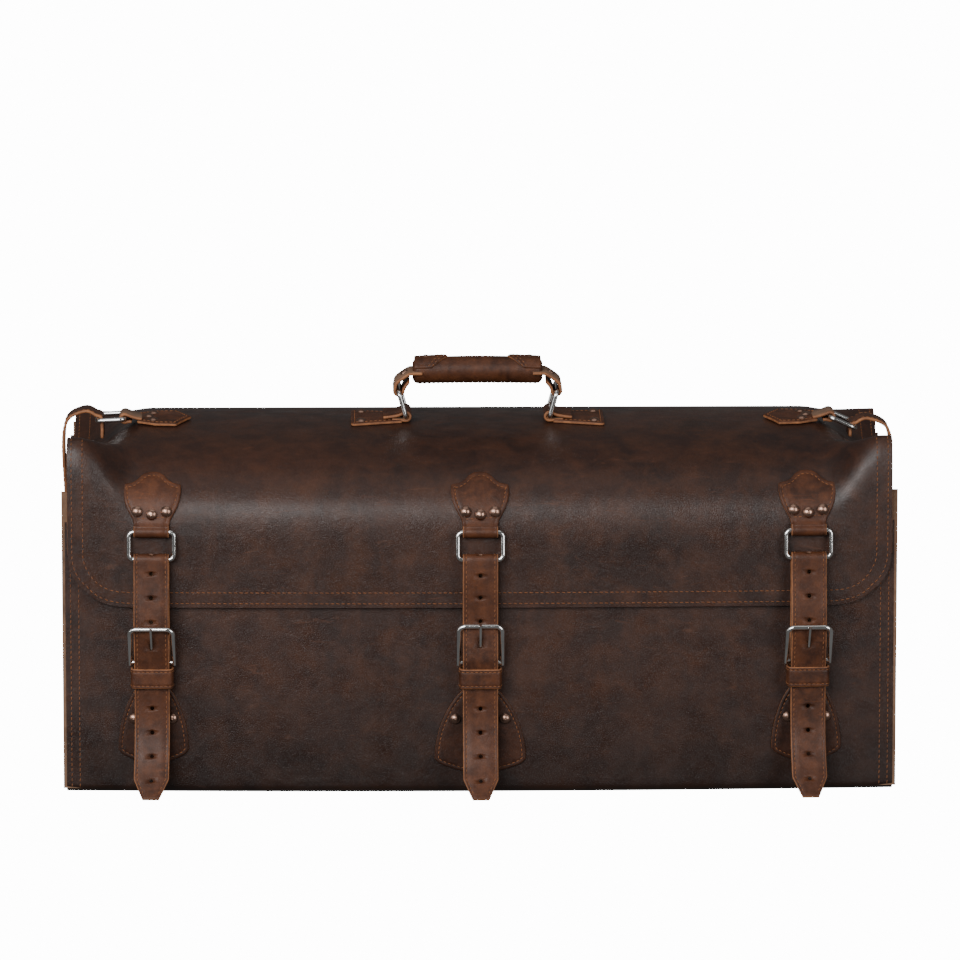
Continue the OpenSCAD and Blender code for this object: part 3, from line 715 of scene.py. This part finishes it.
def build_stitches():
    """Each stitch is a short bead: its ends are points, its middle is round."""
    shape = [(-0.5, 0.0), (-0.42, 0.75), (-0.15, 1.0), (0.15, 1.0), (0.42, 0.75), (0.5, 0.0)]
    k = 6
    rows = len(shape) - 2
    for body, items in STITCHES.items():
        verts, faces = [], []
        for p, t, n, length in items:
            side = np.cross(t, n)
            base = len(verts)
            for a, r in shape:
                centre = p + t * a * length
                if r == 0:
                    verts.append(centre - n * THREAD_HIGH * 0.35)
                    continue
                for j in range(k):
                    ang = 2 * math.pi * j / k
                    up = math.sin(ang) * THREAD_HIGH * r * 0.9 - THREAD_HIGH * 0.15 * (1 - r)
                    verts.append(centre + side * math.cos(ang) * THREAD_WIDE / 2 * r + n * up)
            for row in range(rows - 1):
                for j in range(k):
                    j2 = (j + 1) % k
                    a0 = base + 1 + row * k
                    faces.append([a0 + j, a0 + j2, a0 + k + j2, a0 + k + j])
            for j in range(k):
                j2 = (j + 1) % k
                faces.append([base, base + 1 + j2, base + 1 + j])
                a0 = base + 1 + (rows - 1) * k
                faces.append([a0 + j, a0 + j2, base + 1 + rows * k])
        o = new_object("stitches_" + body, verts, faces, [M_THREAD])
        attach(o, body)


def opened(pts):
    """A loop's points turned round so that its widest gap lies between the ends."""
    gaps = [np.linalg.norm(np.subtract(a, b)) for a, b in zip(pts, pts[1:])]
    far = int(np.argmax(gaps)) + 1
    return pts[far:] + pts[:far]


def stitch_strip(body, rows, inset=2.8, start=4.0, end=4.0, pitch=4.2, length=2.9):
    """Two stitch rows along a strip's grain side."""
    p, n, s, w = rows["p"], rows["n"], rows["s"], rows["w"]
    for side in (-1, 1):
        pts, nn = [], []
        for k in range(len(p)):
            if start <= s[k] <= s[-1] - end:
                half = rows["half"] * rows["widths"][k]
                high = rows["thick"] / 2 - 0.15
                pts.append(p[k] + w * side * (half - inset) + n[k] * high)
                nn.append(n[k])
        if len(pts) > 2:
            stitch_path(body, pts, nn, pitch, length)


# ---- Closure frames ------------------------------------------------------
def place_closure(i):
    """(origin, right, out) of closure i; up is +Z."""
    if i < 3:
        x = CLOSURE_X[i]
        a = math.atan(8 * BULGE * x / (BODY_W * BODY_W))
        o = np.array([x, FRONT_Y - bulge_at(x), 0.0])
    else:
        sgn = -1 if i == 3 else 1
        a = sgn * math.pi / 2
        o = np.array([sgn * END_X, 0.0, 0.0])
    right = np.array([math.cos(a), math.sin(a), 0.0])
    out = np.array([math.sin(a), -math.cos(a), 0.0])
    return o, right, out


UPV = np.array([0.0, 0.0, 1.0])


def local(i, x, o, z):
    org, right, out = place_closure(i)
    return org + right * x + out * o + UPV * z


def arc(c, r, a, b, n=12):
    turns = [a + (b - a) * k / n for k in range(n + 1)]
    return [(c[0] + r * cos(t), c[1] + r * sin(t)) for t in turns]


def top_bar(i):
    return HEEL_OUT + BUCKLE_H * sin(TILT[i]), HEEL_Z + BUCKLE_H * cos(TILT[i])


def ring_foot(i):
    drop = RING_DROP[i]
    return RING_BAR[0] + BAR_GAP * sin(drop), RING_BAR[1] - BAR_GAP * cos(drop)


def side_bar(k):
    slope = SIDE_SLOPE[k]
    return SIDE_BAR[0] + BAR_GAP * cos(slope) - END_X, SIDE_BAR[1] - BAR_GAP * sin(slope)


def front_ply(i):
    """The strap's outer layer from the buckle's top bar down to its tip."""
    t = top_bar(i)
    first = [(t[0] - 3.2, t[1] + 9), (t[0] - 3.6, t[1] - 1), (16.6, HEEL_Z + 4), (15.9, HEEL_Z)]
    first += [(15.3, HEEL_Z - 4.5), (14.2, 104), (13.4, 93)]
    if i < 3:
        tail = [(13.2, 78), (14.2, 62), (17.2, 48), (21.6, 36)]
        tail += [(27.2, 25), (33.8, 15), (40.2, 7), (43.8, 3)]
    else:
        tail = [(12.4, 78), (12.2, 62), (12.8, 48), (14, 36), (15.6, 24), (17.4, 12)]
    return first + tail


def strap_line(i):
    """The strap's middle line as (outward, up): round the ring, then down."""
    wrap = RING_R + 0.45 + STRAP_T / 2
    if i < 3:
        f = ring_foot(i)
        head = [(3.6, 114.5), (4.6, 126), (6.8, 150), (7.4, 165), (f[0] - wrap, f[1] - 12)]
        return head + arc(f, wrap, 180, 0) + [(f[0] + wrap + 0.4, f[1] - 16)] + front_ply(i)
    b = side_bar(i - 3)
    head = [(b[0] - wrap - 0.2, b[1] - (16 if i == 3 else 8)), (b[0] - wrap, b[1] - 4)]
    head += arc(b, wrap, 180, 75, 6)
    over = [(b[0] + 5.5, b[1] + 6.8), (b[0] + 11, b[1] + 8.3), (19.5, b[1] + 3)]
    down = [(23.6, b[1] - 7), (24.6, 286), (24.2, 272), (22.4, 240), (20, 195)]
    return head + over + down + front_ply(i)


def prong_tilt(i):
    return TILT[i] + math.degrees(math.asin((1.9 + 1.75) / BUCKLE_H))


def ply_at(i, z, points, normals):
    """Point and normal on the strap's front ply at height z."""
    _, _, out = place_closure(i)
    front = [(abs(p[2] - z), k) for k, (p, n) in enumerate(zip(points, normals)) if np.dot(n, out) > 0.2]
    _, k = min(front)
    return points[k], normals[k]


# ---- Case ----------------------------------------------------------------
def front_puff(x, z):
    """How far the case's front is pushed out between its edges."""
    return 0.8 * sin(180 * min(1, z / 170)) * (1 - (x / 356) ** 4)


def case_point(x, kind, v):
    """Point of the case leather: v is a height, a turn or a share of the bottom."""
    bend = CASE_BEND
    fy = FRONT_Y - bulge_at(x)
    if kind == "front":
        return x, fy - front_puff(x, v), v
    if kind == "front bend":
        return x, fy + bend - bend * cos(v), bend - bend * sin(v)
    if kind == "bottom":
        return x, fy + bend + (BODY_D - 2 * bend + bulge_at(x)) * v, 0.0
    if kind == "back bend":
        return x, BACK_Y - bend + bend * sin(v), bend - bend * cos(v)
    return x, BACK_Y, v


CASE_BEND = 7.0


def case_shell():
    rows = [("front", z) for z in np.linspace(FRONT_H, CASE_BEND, 46)]
    rows += [("front bend", a) for a in np.linspace(8, 90, 9)]
    rows += [("bottom", t) for t in np.linspace(0.03, 0.97, 30)]
    rows += [("back bend", a) for a in np.linspace(0, 82, 9)]
    rows += [("back", z) for z in np.linspace(CASE_BEND, BACK_H, 46)]
    columns = np.linspace(-BODY_W / 2, BODY_W / 2, 121)
    grid = [[case_point(x, kind, v) for kind, v in rows] for x in columns]
    o = shell("case_shell", grid, LEATHER, CASE_LAYERS, "case")
    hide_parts("case_wrap")


def case_stitches():
    for side in (-1, 1):
        for inset in (4.5, 11.5):
            x = side * (BODY_W / 2 - inset)
            fy = FRONT_Y - bulge_at(x) - 0.05
            pts = [(x, fy - front_puff(x, z), z) for z in np.linspace(4, 232, 60)]
            stitch_path("case", pts, [(0, -1, 0)] * len(pts))
            pts = [(x, BACK_Y + 0.05, z) for z in np.linspace(6, 280, 60)]
            stitch_path("case", pts, [(0, 1, 0)] * len(pts))
    for z in (280.5, 272.5):
        pts = [(x, BACK_Y + 0.05, z) for x in np.linspace(-350, 350, 80)]
        stitch_path("case", pts, [(0, 1, 0)] * len(pts), 5.0)


def gusset_top(y):
    """Height of the end panel's upper edge at y."""
    inner = BODY_D / 2 - LEATHER - GAP
    ys = [-inner, -inner + 20, -70, -45, -22, 0, 22, 45, 70, inner - 25, inner]
    zs = [262, 272, 256, 246, 241.5, 240, 241.5, 246, 253, 262, 273]
    return float(np.interp(y, ys, zs))


def gusset_shell(side):
    """An end panel with its front and back edges turned outward."""
    inner = BODY_D / 2 - LEATHER - GAP
    r = 6.0
    lip = 358.5
    plan = [(q, -inner) for q in np.linspace(lip, END_X + r, 8)]
    plan += [(END_X + r - r * sin(a), -inner + r - r * cos(a)) for a in np.linspace(10, 90, 8)]
    plan += [(END_X, y) for y in np.linspace(-inner + r + 3, inner - r - 3, 44)]
    plan += [(END_X + r - r * cos(a), inner - r + r * sin(a)) for a in np.linspace(0, 80, 8)]
    plan += [(q, inner) for q in np.linspace(END_X + r, lip, 8)]
    grid = []
    for x, y in plan:
        hi = gusset_top(y)
        col = []
        for v in np.linspace(0, 1, 56):
            z = 3.4 + (hi - 3.4) * v
            sag = 0.0
            if abs(y) < inner - r:
                sag = -1.6 * sin(180 * v) * (1 - (y / inner) ** 2)
            col.append((side * (x + sag), y, z))
        grid.append(col)
    hand = "left" if side < 0 else "right"
    o = shell("gusset_shell_" + hand, grid, LEATHER, CASE_LAYERS, "case")
    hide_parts("gusset_" + hand)
    # The panel's lower edge, turned outward
    ys = np.linspace(-inner + 3, inner - 3, 40)
    foot = [[(side * q, y, 6.3) for q in np.linspace(END_X - 2, 356, 6)] for y in ys]
    f = shell("gusset_foot_" + hand, foot, LEATHER, CASE_LAYERS, "case", away=(side * 345, 0, -100))


# ---- Flap ----------------------------------------------------------------
# Half the straight part of the lower edge, and the bend's steps each side of the cut
FLAP_FLAT = FLAP_HALF - CORNER
BEND_REACH = 0.9


def flap_columns():
    """Places of the grid's columns, closer together round the corners."""
    half = list(np.linspace(0, 300, 44)) + [304, FLAP_FLAT]
    half += [FLAP_FLAT + CORNER * sin(t) for t in np.linspace(6, 90, 15)]
    half = sorted(set(round(h, 4) for h in half))
    return [-h for h in reversed(half[1:])] + half


def flap_shell():
    steps = list(np.linspace(0, UP, 22))
    steps += list(np.linspace(UP, UP + ARCH, 64))[1:]
    steps += list(np.linspace(UP + ARCH, LAST, 36))[1:]
    grid = [[(x, *skin(x, i)) for i in steps] for x in flap_columns()]
    o = shell("flap_shell", grid, LEATHER, FLAP_LAYERS, None)
    a = skin(0, SPLIT - BEND_REACH)
    b = skin(0, SPLIT + BEND_REACH)
    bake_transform(o)
    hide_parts("flap_front", "flap_top", "flap_front_strip", "flap_top_strips")


def flap_step(x, z):
    """Step of the flap's upright front at height z."""
    low = low_edge(x)
    return UP * (z - low) / (SHOULDER - low)


def flap_front_point(x, z):
    p = skin(x, flap_step(x, z))
    return x, p[0] - 0.05, p[1]


def flap_stitches():
    """Two rows round the flap's lower edge, its corners and its sides."""
    size = (4.6, 3.3)
    for inset in (3.6, 13.0):
        rad = CORNER - inset
        pts = [flap_front_point(x, FLAP_LOW + inset) for x in np.linspace(-FLAP_FLAT, FLAP_FLAT, 160)]
        stitch_path("flap_front", pts, [(0, -1, 0)] * len(pts), *size)
        for side in (-1, 1):
            turn = np.linspace(0, 90, 24)
            flat = [(side * (FLAP_FLAT + rad * sin(t)), FLAP_LOW + CORNER - rad * cos(t)) for t in turn]
            pts = [flap_front_point(x, z) for x, z in flat]
            stitch_path("flap_front", pts, [(0, -1, 0)] * len(pts), *size)
            x = side * (FLAP_HALF - inset)
            front = (flap_step(x, FLAP_LOW + CORNER), SPLIT - BEND_REACH)
            top = (SPLIT + BEND_REACH, LAST - 0.05)
            for body, ends in (("flap_front", front), ("flap_top", top)):
                steps = np.linspace(*ends, 70)
                nn = [skin_normal(x, i) for i in steps]
                pts = [(x, *(skin(x, i) + m * 0.05)) for i, m in zip(steps, nn)]
                stitch_path(body, pts, [(0, *m) for m in nn], *size)


def lower_strip():
    """The edge strip behind the flap's lower edge."""
    grid = []
    for x in np.linspace(-FLAP_FLAT, FLAP_FLAT, 80):
        col = [flap_front_point(x, FLAP_LOW + v) for v in np.linspace(1, 15, 4)]
        grid.append([(q[0], q[1] + LEATHER + 0.25, q[2]) for q in col])
    o = shell("flap_lower_strip", grid, 1.6, [M_SUEDE, M_BELL, M_EDGE], "flap_front")


def hinge_lining():
    """The lining over the bend where the flap leaves the back wall."""
    deep = LEATHER + 0.2
    half = FLAP_HALF - 14
    grid = []
    for x in np.linspace(-half, half, 120):
        col = [(x, BACK_Y - deep, z) for z in np.linspace(266, 283, 9)]
        for i in np.linspace(LAST - 0.15, LAST - 0.95, 8):
            col.append((x, *(skin(x, i) - skin_normal(x, i) * deep)))
        grid.append(col)
    o = shell("hinge_lining", grid, 1.2, [M_SUEDE, M_SUEDE, M_EDGE], None)
    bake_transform(o)


# ---- Closures ------------------------------------------------------------
HOLE_R = 1.8


def closure_strap(i):
    name = NAMES[i]
    _, right, out = place_closure(i)
    tip = 19

    def taper(rest):
        return 1.0 if rest > tip else (7.2 + (15 - 7.2) * rest / tip) / 15

    pts = [local(i, 0, o, z) for o, z in strap_line(i)]
    centre, _ = resample(pts, 1.6)
    t = np.gradient(centre, axis=0)
    t /= np.linalg.norm(t, axis=1, keepdims=True)
    normals = np.cross(t, right)
    # The prong's hole lies along the prong, the others go straight through
    along = out * sin(prong_tilt(i)) + UPV * cos(prong_tilt(i))
    holes = [(local(i, 0, HEEL_OUT, HEEL_Z) + along * 15, along, HOLE_R, 30)]
    above = [20.5 * k for k in range(1, 5)] if i < 3 else [22 * k for k in range(1, 4)]
    heights = [HEEL_Z - k * 19.9 for k in range(1, 6)] + [HEEL_Z + 16 + k for k in above]
    for z in heights:
        if z >= (14 if i < 3 else 24):
            holes.append((*ply_at(i, z, centre, normals), HOLE_R, 7))
    o, rows = strip(
        "strap_leather_" + name, pts, right, STRAP_W, STRAP_T, STRAP_LAYERS, "case", taper=taper, holes=holes
    )
    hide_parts("strap_" + name)
    stitch_strip("case", rows)


def closure_keeper(i):
    name = NAMES[i]
    near, far = 0.3 + 1.05, 0.3 + 19 - 1.05
    w = STRAP_W / 2 + 2.4
    r = 2.6
    loop = [(0, near), (w - r, near), (w, near + r), (w, far - r), (w - r, far), (0, far)]
    loop += [(r - w, far), (-w, far - r), (-w, near + r), (r - w, near), (-1.0, near)]
    pts = [local(i, x, q, HEEL_Z - 13) for x, q in loop]
    o, rows = strip(
        "keeper_leather_" + name, pts, UPV, 17.0, 2.1, STRAP_LAYERS, "case", side=-1, step=1.2, groove=2.4
    )
    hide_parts("keeper_" + name)
    stitch_strip("case", rows, inset=2.4, pitch=3.8, length=2.6)


def bell_tab(i):
    """The bell-shaped tab on the case, and the chape that holds the buckle."""
    name = NAMES[i]
    _, right, out = place_closure(i)
    wide = 39.0 if i == 1 else 30.0
    corner_z = 30.0 if i == 1 else 38.0
    neck = STRAP_W / 2
    share = np.linspace(0, 1, 14)
    half = [(neck, 96)]
    half += [(neck + (wide - neck) * sin(90 * q), 90 - (90 - corner_z) * q**1.25) for q in share]
    half += [(wide * (1 - q), corner_z - 14 * q**0.6) for q in np.linspace(0.08, 1, 12)]
    loop = half + [(-x, z) for x, z in reversed(half[:-1])]
    o, loop = patch(
        "bell_leather_" + name,
        loop[::-1],
        lambda x, z, h: local(i, x, 0.4 + h, z),
        TAB_T,
        BELL_LAYERS,
        "case",
    )
    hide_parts("bell_tab_" + name)
    pts = [local(i, x, 2.8, z) for x, z in outline_offset(loop, 3.0) if z < 92]
    pts = opened(pts)
    stitch_path("case", pts, [out] * len(pts), 4.0, 2.8)
    chape = [(3.85, 92), (4.6, 101), (6.5, 108)] + arc((HEEL_OUT, HEEL_Z), 3.4, 180, 0)
    chape += [(11.6, 109), (9.0, 102), (7.6, 98)]
    for side, letter in ((-1, "a"), (1, "b")):
        pts = [local(i, side * 8.4, q, z) for q, z in chape]
        piece = f"chape_{name}_{letter}"
        strip(piece, pts, right, 10.2, 2.4, BELL_LAYERS, "case", step=1.2, groove=2.0)


def build_shield(i):
    """The shield on the flap and its fold round the front ring's upper bar."""
    name = NAMES[i]
    x0 = CLOSURE_X[i]
    _, right, out = place_closure(i)
    steps = np.linspace(0.0, 9.0, 400)
    heights = [skin(x0, k)[1] for k in steps]
    base_y = FRONT_Y - bulge_at(x0)

    def on_flap(x, z, h):
        step = float(np.interp(z, heights, steps))
        m = skin_normal(x0, step)
        p = skin(x0, step) + m * (0.35 + h)
        if z < SHOULDER - 2:
            # Towards the ring the shield lifts over its bar
            p = p + m * smooth(SHOULDER - 2 - z, 0, 9) * 5.2
        return local(i, x, base_y - p[0], p[1])

    half = [(0, 275.5), (5, 275), (9.5, 273), (13, 270), (17, 267.8), (21, 267), (24.4, 266.4)]
    half += [(24.6, 261), (23.6, 255), (21.5, 249), (18.5, 243.5), (16, 239.5), (15, 235), (15, 229.5)]
    loop = [(-x, z) for x, z in half[::-1]] + half[1:]
    o, loop = patch("shield_leather_" + name, loop[::-1], on_flap, TAB_T, STRAP_LAYERS, "flap_front")
    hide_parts("shield_tab_" + name)
    pts = opened([on_flap(x, z, 2.4) for x, z in outline_offset(loop, 3.0) if z > SHOULDER])
    stitch_path("flap_front", pts, [out * 0.9 + UPV * 0.3] * len(pts), 4.0, 2.8)
    fold = [(RING_BAR[0] + 1.3, RING_BAR[1] + 5.4)] + arc(RING_BAR, TAB_WRAP, 62, -180, 16)
    fold += [(RING_BAR[0] - TAB_WRAP, RING_BAR[1] + 3)]
    pts = [local(i, 0, q, z) for q, z in fold]
    strip("shield_fold_" + name, pts, right, 30.0, TAB_T, STRAP_LAYERS, "flap_front", step=1.0)


# ---- Top fittings ---------------------------------------------------------
def on_top(x, y, h):
    """Point h above the domed top at (x, y)."""
    a = top_slope(y)
    return np.array([x, y - sin(a) * h, top_z(y) + cos(a) * h])


def seat(x, y, h):
    """Point in the handle's frame, which lies on the top's slope."""
    up = SEAT_Z + y * sin(SEAT_SLOPE) + h * cos(SEAT_SLOPE)
    return np.array([x, y * cos(SEAT_SLOPE) - h * sin(SEAT_SLOPE), up])


SEAT_Y = np.array([0, cos(SEAT_SLOPE), sin(SEAT_SLOPE)])
SEAT_UP = np.array([0, -sin(SEAT_SLOPE), cos(SEAT_SLOPE)])
FOOT = (62.5, 5.2)
HAND = (62.5 + BAR_GAP * sin(15), 5.2 + BAR_GAP * cos(15))
GRIP_Z, GRIP_HALF, GRIP_R, GRIP_LIFT = 43.0, 56.5, 11.6, 1.2
DEG_PER_MM = 4.9


def top_tab(piece, node, half, s, gap):
    """A flat tab on the top with one row of stitches; s is its side."""
    loop = [(s * x, y) for x, y in half]
    o, loop = patch(
        piece, loop, lambda x, y, h: on_top(x, y, gap + h), TAB_T, STRAP_LAYERS, "flap_top"
    )
    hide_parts(node)
    pts = [on_top(x, y, gap + 2.4) for x, y in outline_offset(loop, 3.0)]
    stitch_path("flap_top", pts, [SEAT_UP] * len(pts), 4.0, 2.8)


def handle_tab(s, name):
    half = [(66, -16), (108, -25), (110, -23.5), (110, 23.5), (108, 25), (66, 16)]
    top_tab("handle_tab_leather_" + name, "handle_tab_" + name, half, s, 0.4)
    line = [(74.5, 2.3), (69.5, 2.2)] + arc(FOOT, TAB_WRAP, -90, -300, 16)
    line += [(68, 6.4), (76, 4.9), (82, 4.4)]
    pts = [seat(s * x, 0, h) for x, h in line]
    piece = "handle_tab_fold_" + name
    strip(piece, pts, SEAT_Y, 31.0, TAB_T, STRAP_LAYERS, "flap_top", side=s, step=1.0)


def corner_tab(s, name):
    half = [(249.5, 0), (259, -18), (262, -24.5), (280, -23), (296, -15)]
    half += [(x, -y) for x, y in half[:0:-1]]
    top_tab("corner_tab_leather_" + name, "corner_tab_" + name, half, s, 0.7)
    z = SEAT_Z + 1.9
    line = [(292, z + 0.4), (298, z + 1.6)] + arc(SIDE_BAR, TAB_WRAP, 130, -130, 16)
    line += [(301, SIDE_BAR[1] - 2.9)]
    pts = [np.array([s * x, 0, h]) for x, h in line]
    piece = "corner_tab_fold_" + name
    strip(piece, pts, (0, 1.0, 0), 30.0, TAB_T, STRAP_LAYERS, "flap_top", side=-s, step=1.0)


def handle_end(s, name):
    """The end of the handle's strap that folds round its ring."""
    wrap = RING_R + 0.6 + STRAP_T / 2
    x, z = HAND
    line = [(48, GRIP_Z), (56.9, GRIP_Z), (59.7, GRIP_Z - 0.4), (66, GRIP_Z - 4.6)]
    line += [(x + wrap - 1.2, z + 6.6)] + arc(HAND, wrap, 30, -180, 16)
    line += [(x - wrap - 1.4, z + 3.6), (x - wrap - 4.6, z + 7.4)]
    pts = [seat(s * a, 0, h) for a, h in line]
    piece = "handle_end_" + name
    o, rows = strip(piece, pts, SEAT_Y, 29.0, STRAP_T, STRAP_LAYERS, "handle", side=-s, step=1.2)
    if s < 0:
        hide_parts("handle_strap")
    stitch_strip("handle", rows, start=12)


def on_grip(x, a, h=0.0):
    """Point h above the grip's surface at x, a degrees round it."""
    arch = 1 - (abs(x) / GRIP_HALF) ** 2
    r = GRIP_R + 0.5 * arch + h
    return seat(x, r * cos(a), GRIP_Z + GRIP_LIFT * arch + r * 0.97 * sin(a))


def grip():
    """The round grip with a slight arch, a seam below and drawn-in ends."""
    verts, faces = [], []
    xs = np.linspace(-GRIP_HALF, GRIP_HALF, 90)
    k = 40
    for x in xs:
        u = abs(x) / GRIP_HALF
        r = GRIP_R + 0.5 * (1 - u * u) - 4.0 * max(0, (u - 0.93) / 0.07) ** 2
        lift = GRIP_LIFT * (1 - u * u)
        for j in range(k):
            a = 360 * j / k
            seam = -0.7 * math.exp(-(((a - 270) / 7) ** 2))
            verts.append(seat(x, (r + seam) * cos(a), GRIP_Z + lift + (r * 0.97 + seam) * sin(a)))
    for a in range(len(xs) - 1):
        for j in range(k):
            j2 = (j + 1) % k
            faces.append([a * k + j, a * k + j2, (a + 1) * k + j2, (a + 1) * k + j])
    faces.append([j for j in reversed(range(k))])
    faces.append([(len(xs) - 1) * k + j for j in range(k)])
    o = new_object("handle_grip_leather", verts, faces, [M_STRAP])
    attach(o, "handle")
    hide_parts("handle_wrap", "handle_core")


def grip_overlap(s, name):
    """A second layer at the grip's end, with a slanted point."""
    outline = [(55, 20), (55, 160), (40, 160), (26, 96), (34, 20)]
    flat = [(s * x, a / DEG_PER_MM) for x, a in outline]
    patch(
        "grip_overlap_" + name,
        flat,
        lambda x, a, h: on_grip(x, a * DEG_PER_MM, h - 0.2),
        1.9,
        STRAP_LAYERS,
        "handle",
        cell=2.2,
    )


def grip_stitches():
    for row in (-2.2, 2.2):
        pts = [on_grip(x, 270 + row * DEG_PER_MM) for x in np.linspace(-52, 52, 60)]
        stitch_path("handle", pts, [(0, 0, -1)] * len(pts), 4.0, 2.8)
    for s in (-1, 1):
        for off in (0.0, 3.4):
            share = np.linspace(0, 1, 30)
            pts = [on_grip(s * (28.8 + off + abs(q - 0.5) * 22), 24 + 132 * q, 1.6) for q in share]
            nn = [SEAT_Y * cos(24 + 132 * q) + SEAT_UP * sin(24 + 132 * q) for q in share]
            stitch_path("handle", pts, nn, 3.8, 2.6)


# ---- Build ----------------------------------------------------------------
SIDES = ((-1, "left"), (1, "right"))
case_shell()
case_stitches()
for sign, _ in SIDES:
    gusset_shell(sign)
flap_shell()
flap_stitches()
lower_strip()
hinge_lining()
for index in range(5):
    closure_strap(index)
    closure_keeper(index)
    bell_tab(index)
for index in range(3):
    build_shield(index)
for sign, side_name in SIDES:
    handle_tab(sign, side_name)
    corner_tab(sign, side_name)
for sign, side_name in SIDES:
    handle_end(sign, side_name)
grip()
for sign, side_name in SIDES:
    grip_overlap(sign, side_name)
grip_stitches()
build_stitches()


def dress(prefix, material):
    """Gives the CAD nodes that start with prefix one material."""
    for node_name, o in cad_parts.items():
        if node_name.startswith(prefix):
            o.data.materials.clear()
            o.data.materials.append(material)
            zeros = np.zeros(len(o.data.polygons), np.int32)
            o.data.polygons.foreach_set("material_index", zeros)


for start in ("buckle_", "front_ring_", "side_ring_", "handle_ring_"):
    dress(start, M_NICKEL)
dress("rivets_", M_RIVET)
dress("base_board", M_BOARD)

# ---- Light and camera ------------------------------------------------------
scene = bpy.context.scene
world = bpy.data.worlds.new("studio")
scene.world = world
world.use_nodes = True
tree = world.node_tree
tree.nodes.clear()
w_out = tree.nodes.new("ShaderNodeOutputWorld")
w_mix = tree.nodes.new("ShaderNodeMixShader")
w_path = tree.nodes.new("ShaderNodeLightPath")
w_soft = tree.nodes.new("ShaderNodeBackground")
w_soft.inputs["Color"].default_value = (1, 1, 1, 1)
w_soft.inputs["Strength"].default_value = 0.13
w_view = tree.nodes.new("ShaderNodeBackground")
w_view.inputs["Color"].default_value = (1, 1, 1, 1)
w_view.inputs["Strength"].default_value = 14.0
tree.links.new(w_path.outputs["Is Camera Ray"], w_mix.inputs[0])
tree.links.new(w_soft.outputs[0], w_mix.inputs[1])
tree.links.new(w_view.outputs[0], w_mix.inputs[2])
tree.links.new(w_mix.outputs[0], w_out.inputs["Surface"])


def area_light(name, place, target, size, power):
    data = bpy.data.lights.new(name, "AREA")
    data.shape = "RECTANGLE"
    data.size, data.size_y = size
    data.energy = power
    o = bpy.data.objects.new(name, data)
    o.location = place
    o.rotation_euler = (Vector(target) - Vector(place)).to_track_quat("-Z", "Y").to_euler()
    scene.collection.objects.link(o)


area_light("key", (-1.3, -2.6, 1.5), (0, 0, 0.15), (2.2, 1.6), 105)
area_light("fill", (2.0, -2.2, 0.9), (0, 0, 0.15), (1.2, 1.8), 42)
area_light("side", (-2.4, -1.2, 0.9), (0, 0, 0.15), (1.0, 1.6), 10)
area_light("top", (0, -0.3, 2.2), (0, 0, 0.25), (2.0, 1.2), 6)

cam_data = bpy.data.cameras.new("camera")
cam_data.sensor_width = 36.0
cam_data.lens = 277.9
cam_data.dof.use_dof = False
cam_data.clip_end = 50
cam = bpy.data.objects.new("camera", cam_data)
aim = Vector((0.0, -0.12, 0.2715))
yaw, lift = math.radians(-1.1), math.radians(9.5)
away = Vector((math.sin(yaw) * math.cos(lift), -math.cos(yaw) * math.cos(lift), math.sin(lift)))
cam.location = aim + away * 6.35
cam.rotation_euler = (-away).to_track_quat("-Z", "Y").to_euler()
scene.collection.objects.link(cam)
scene.camera = cam
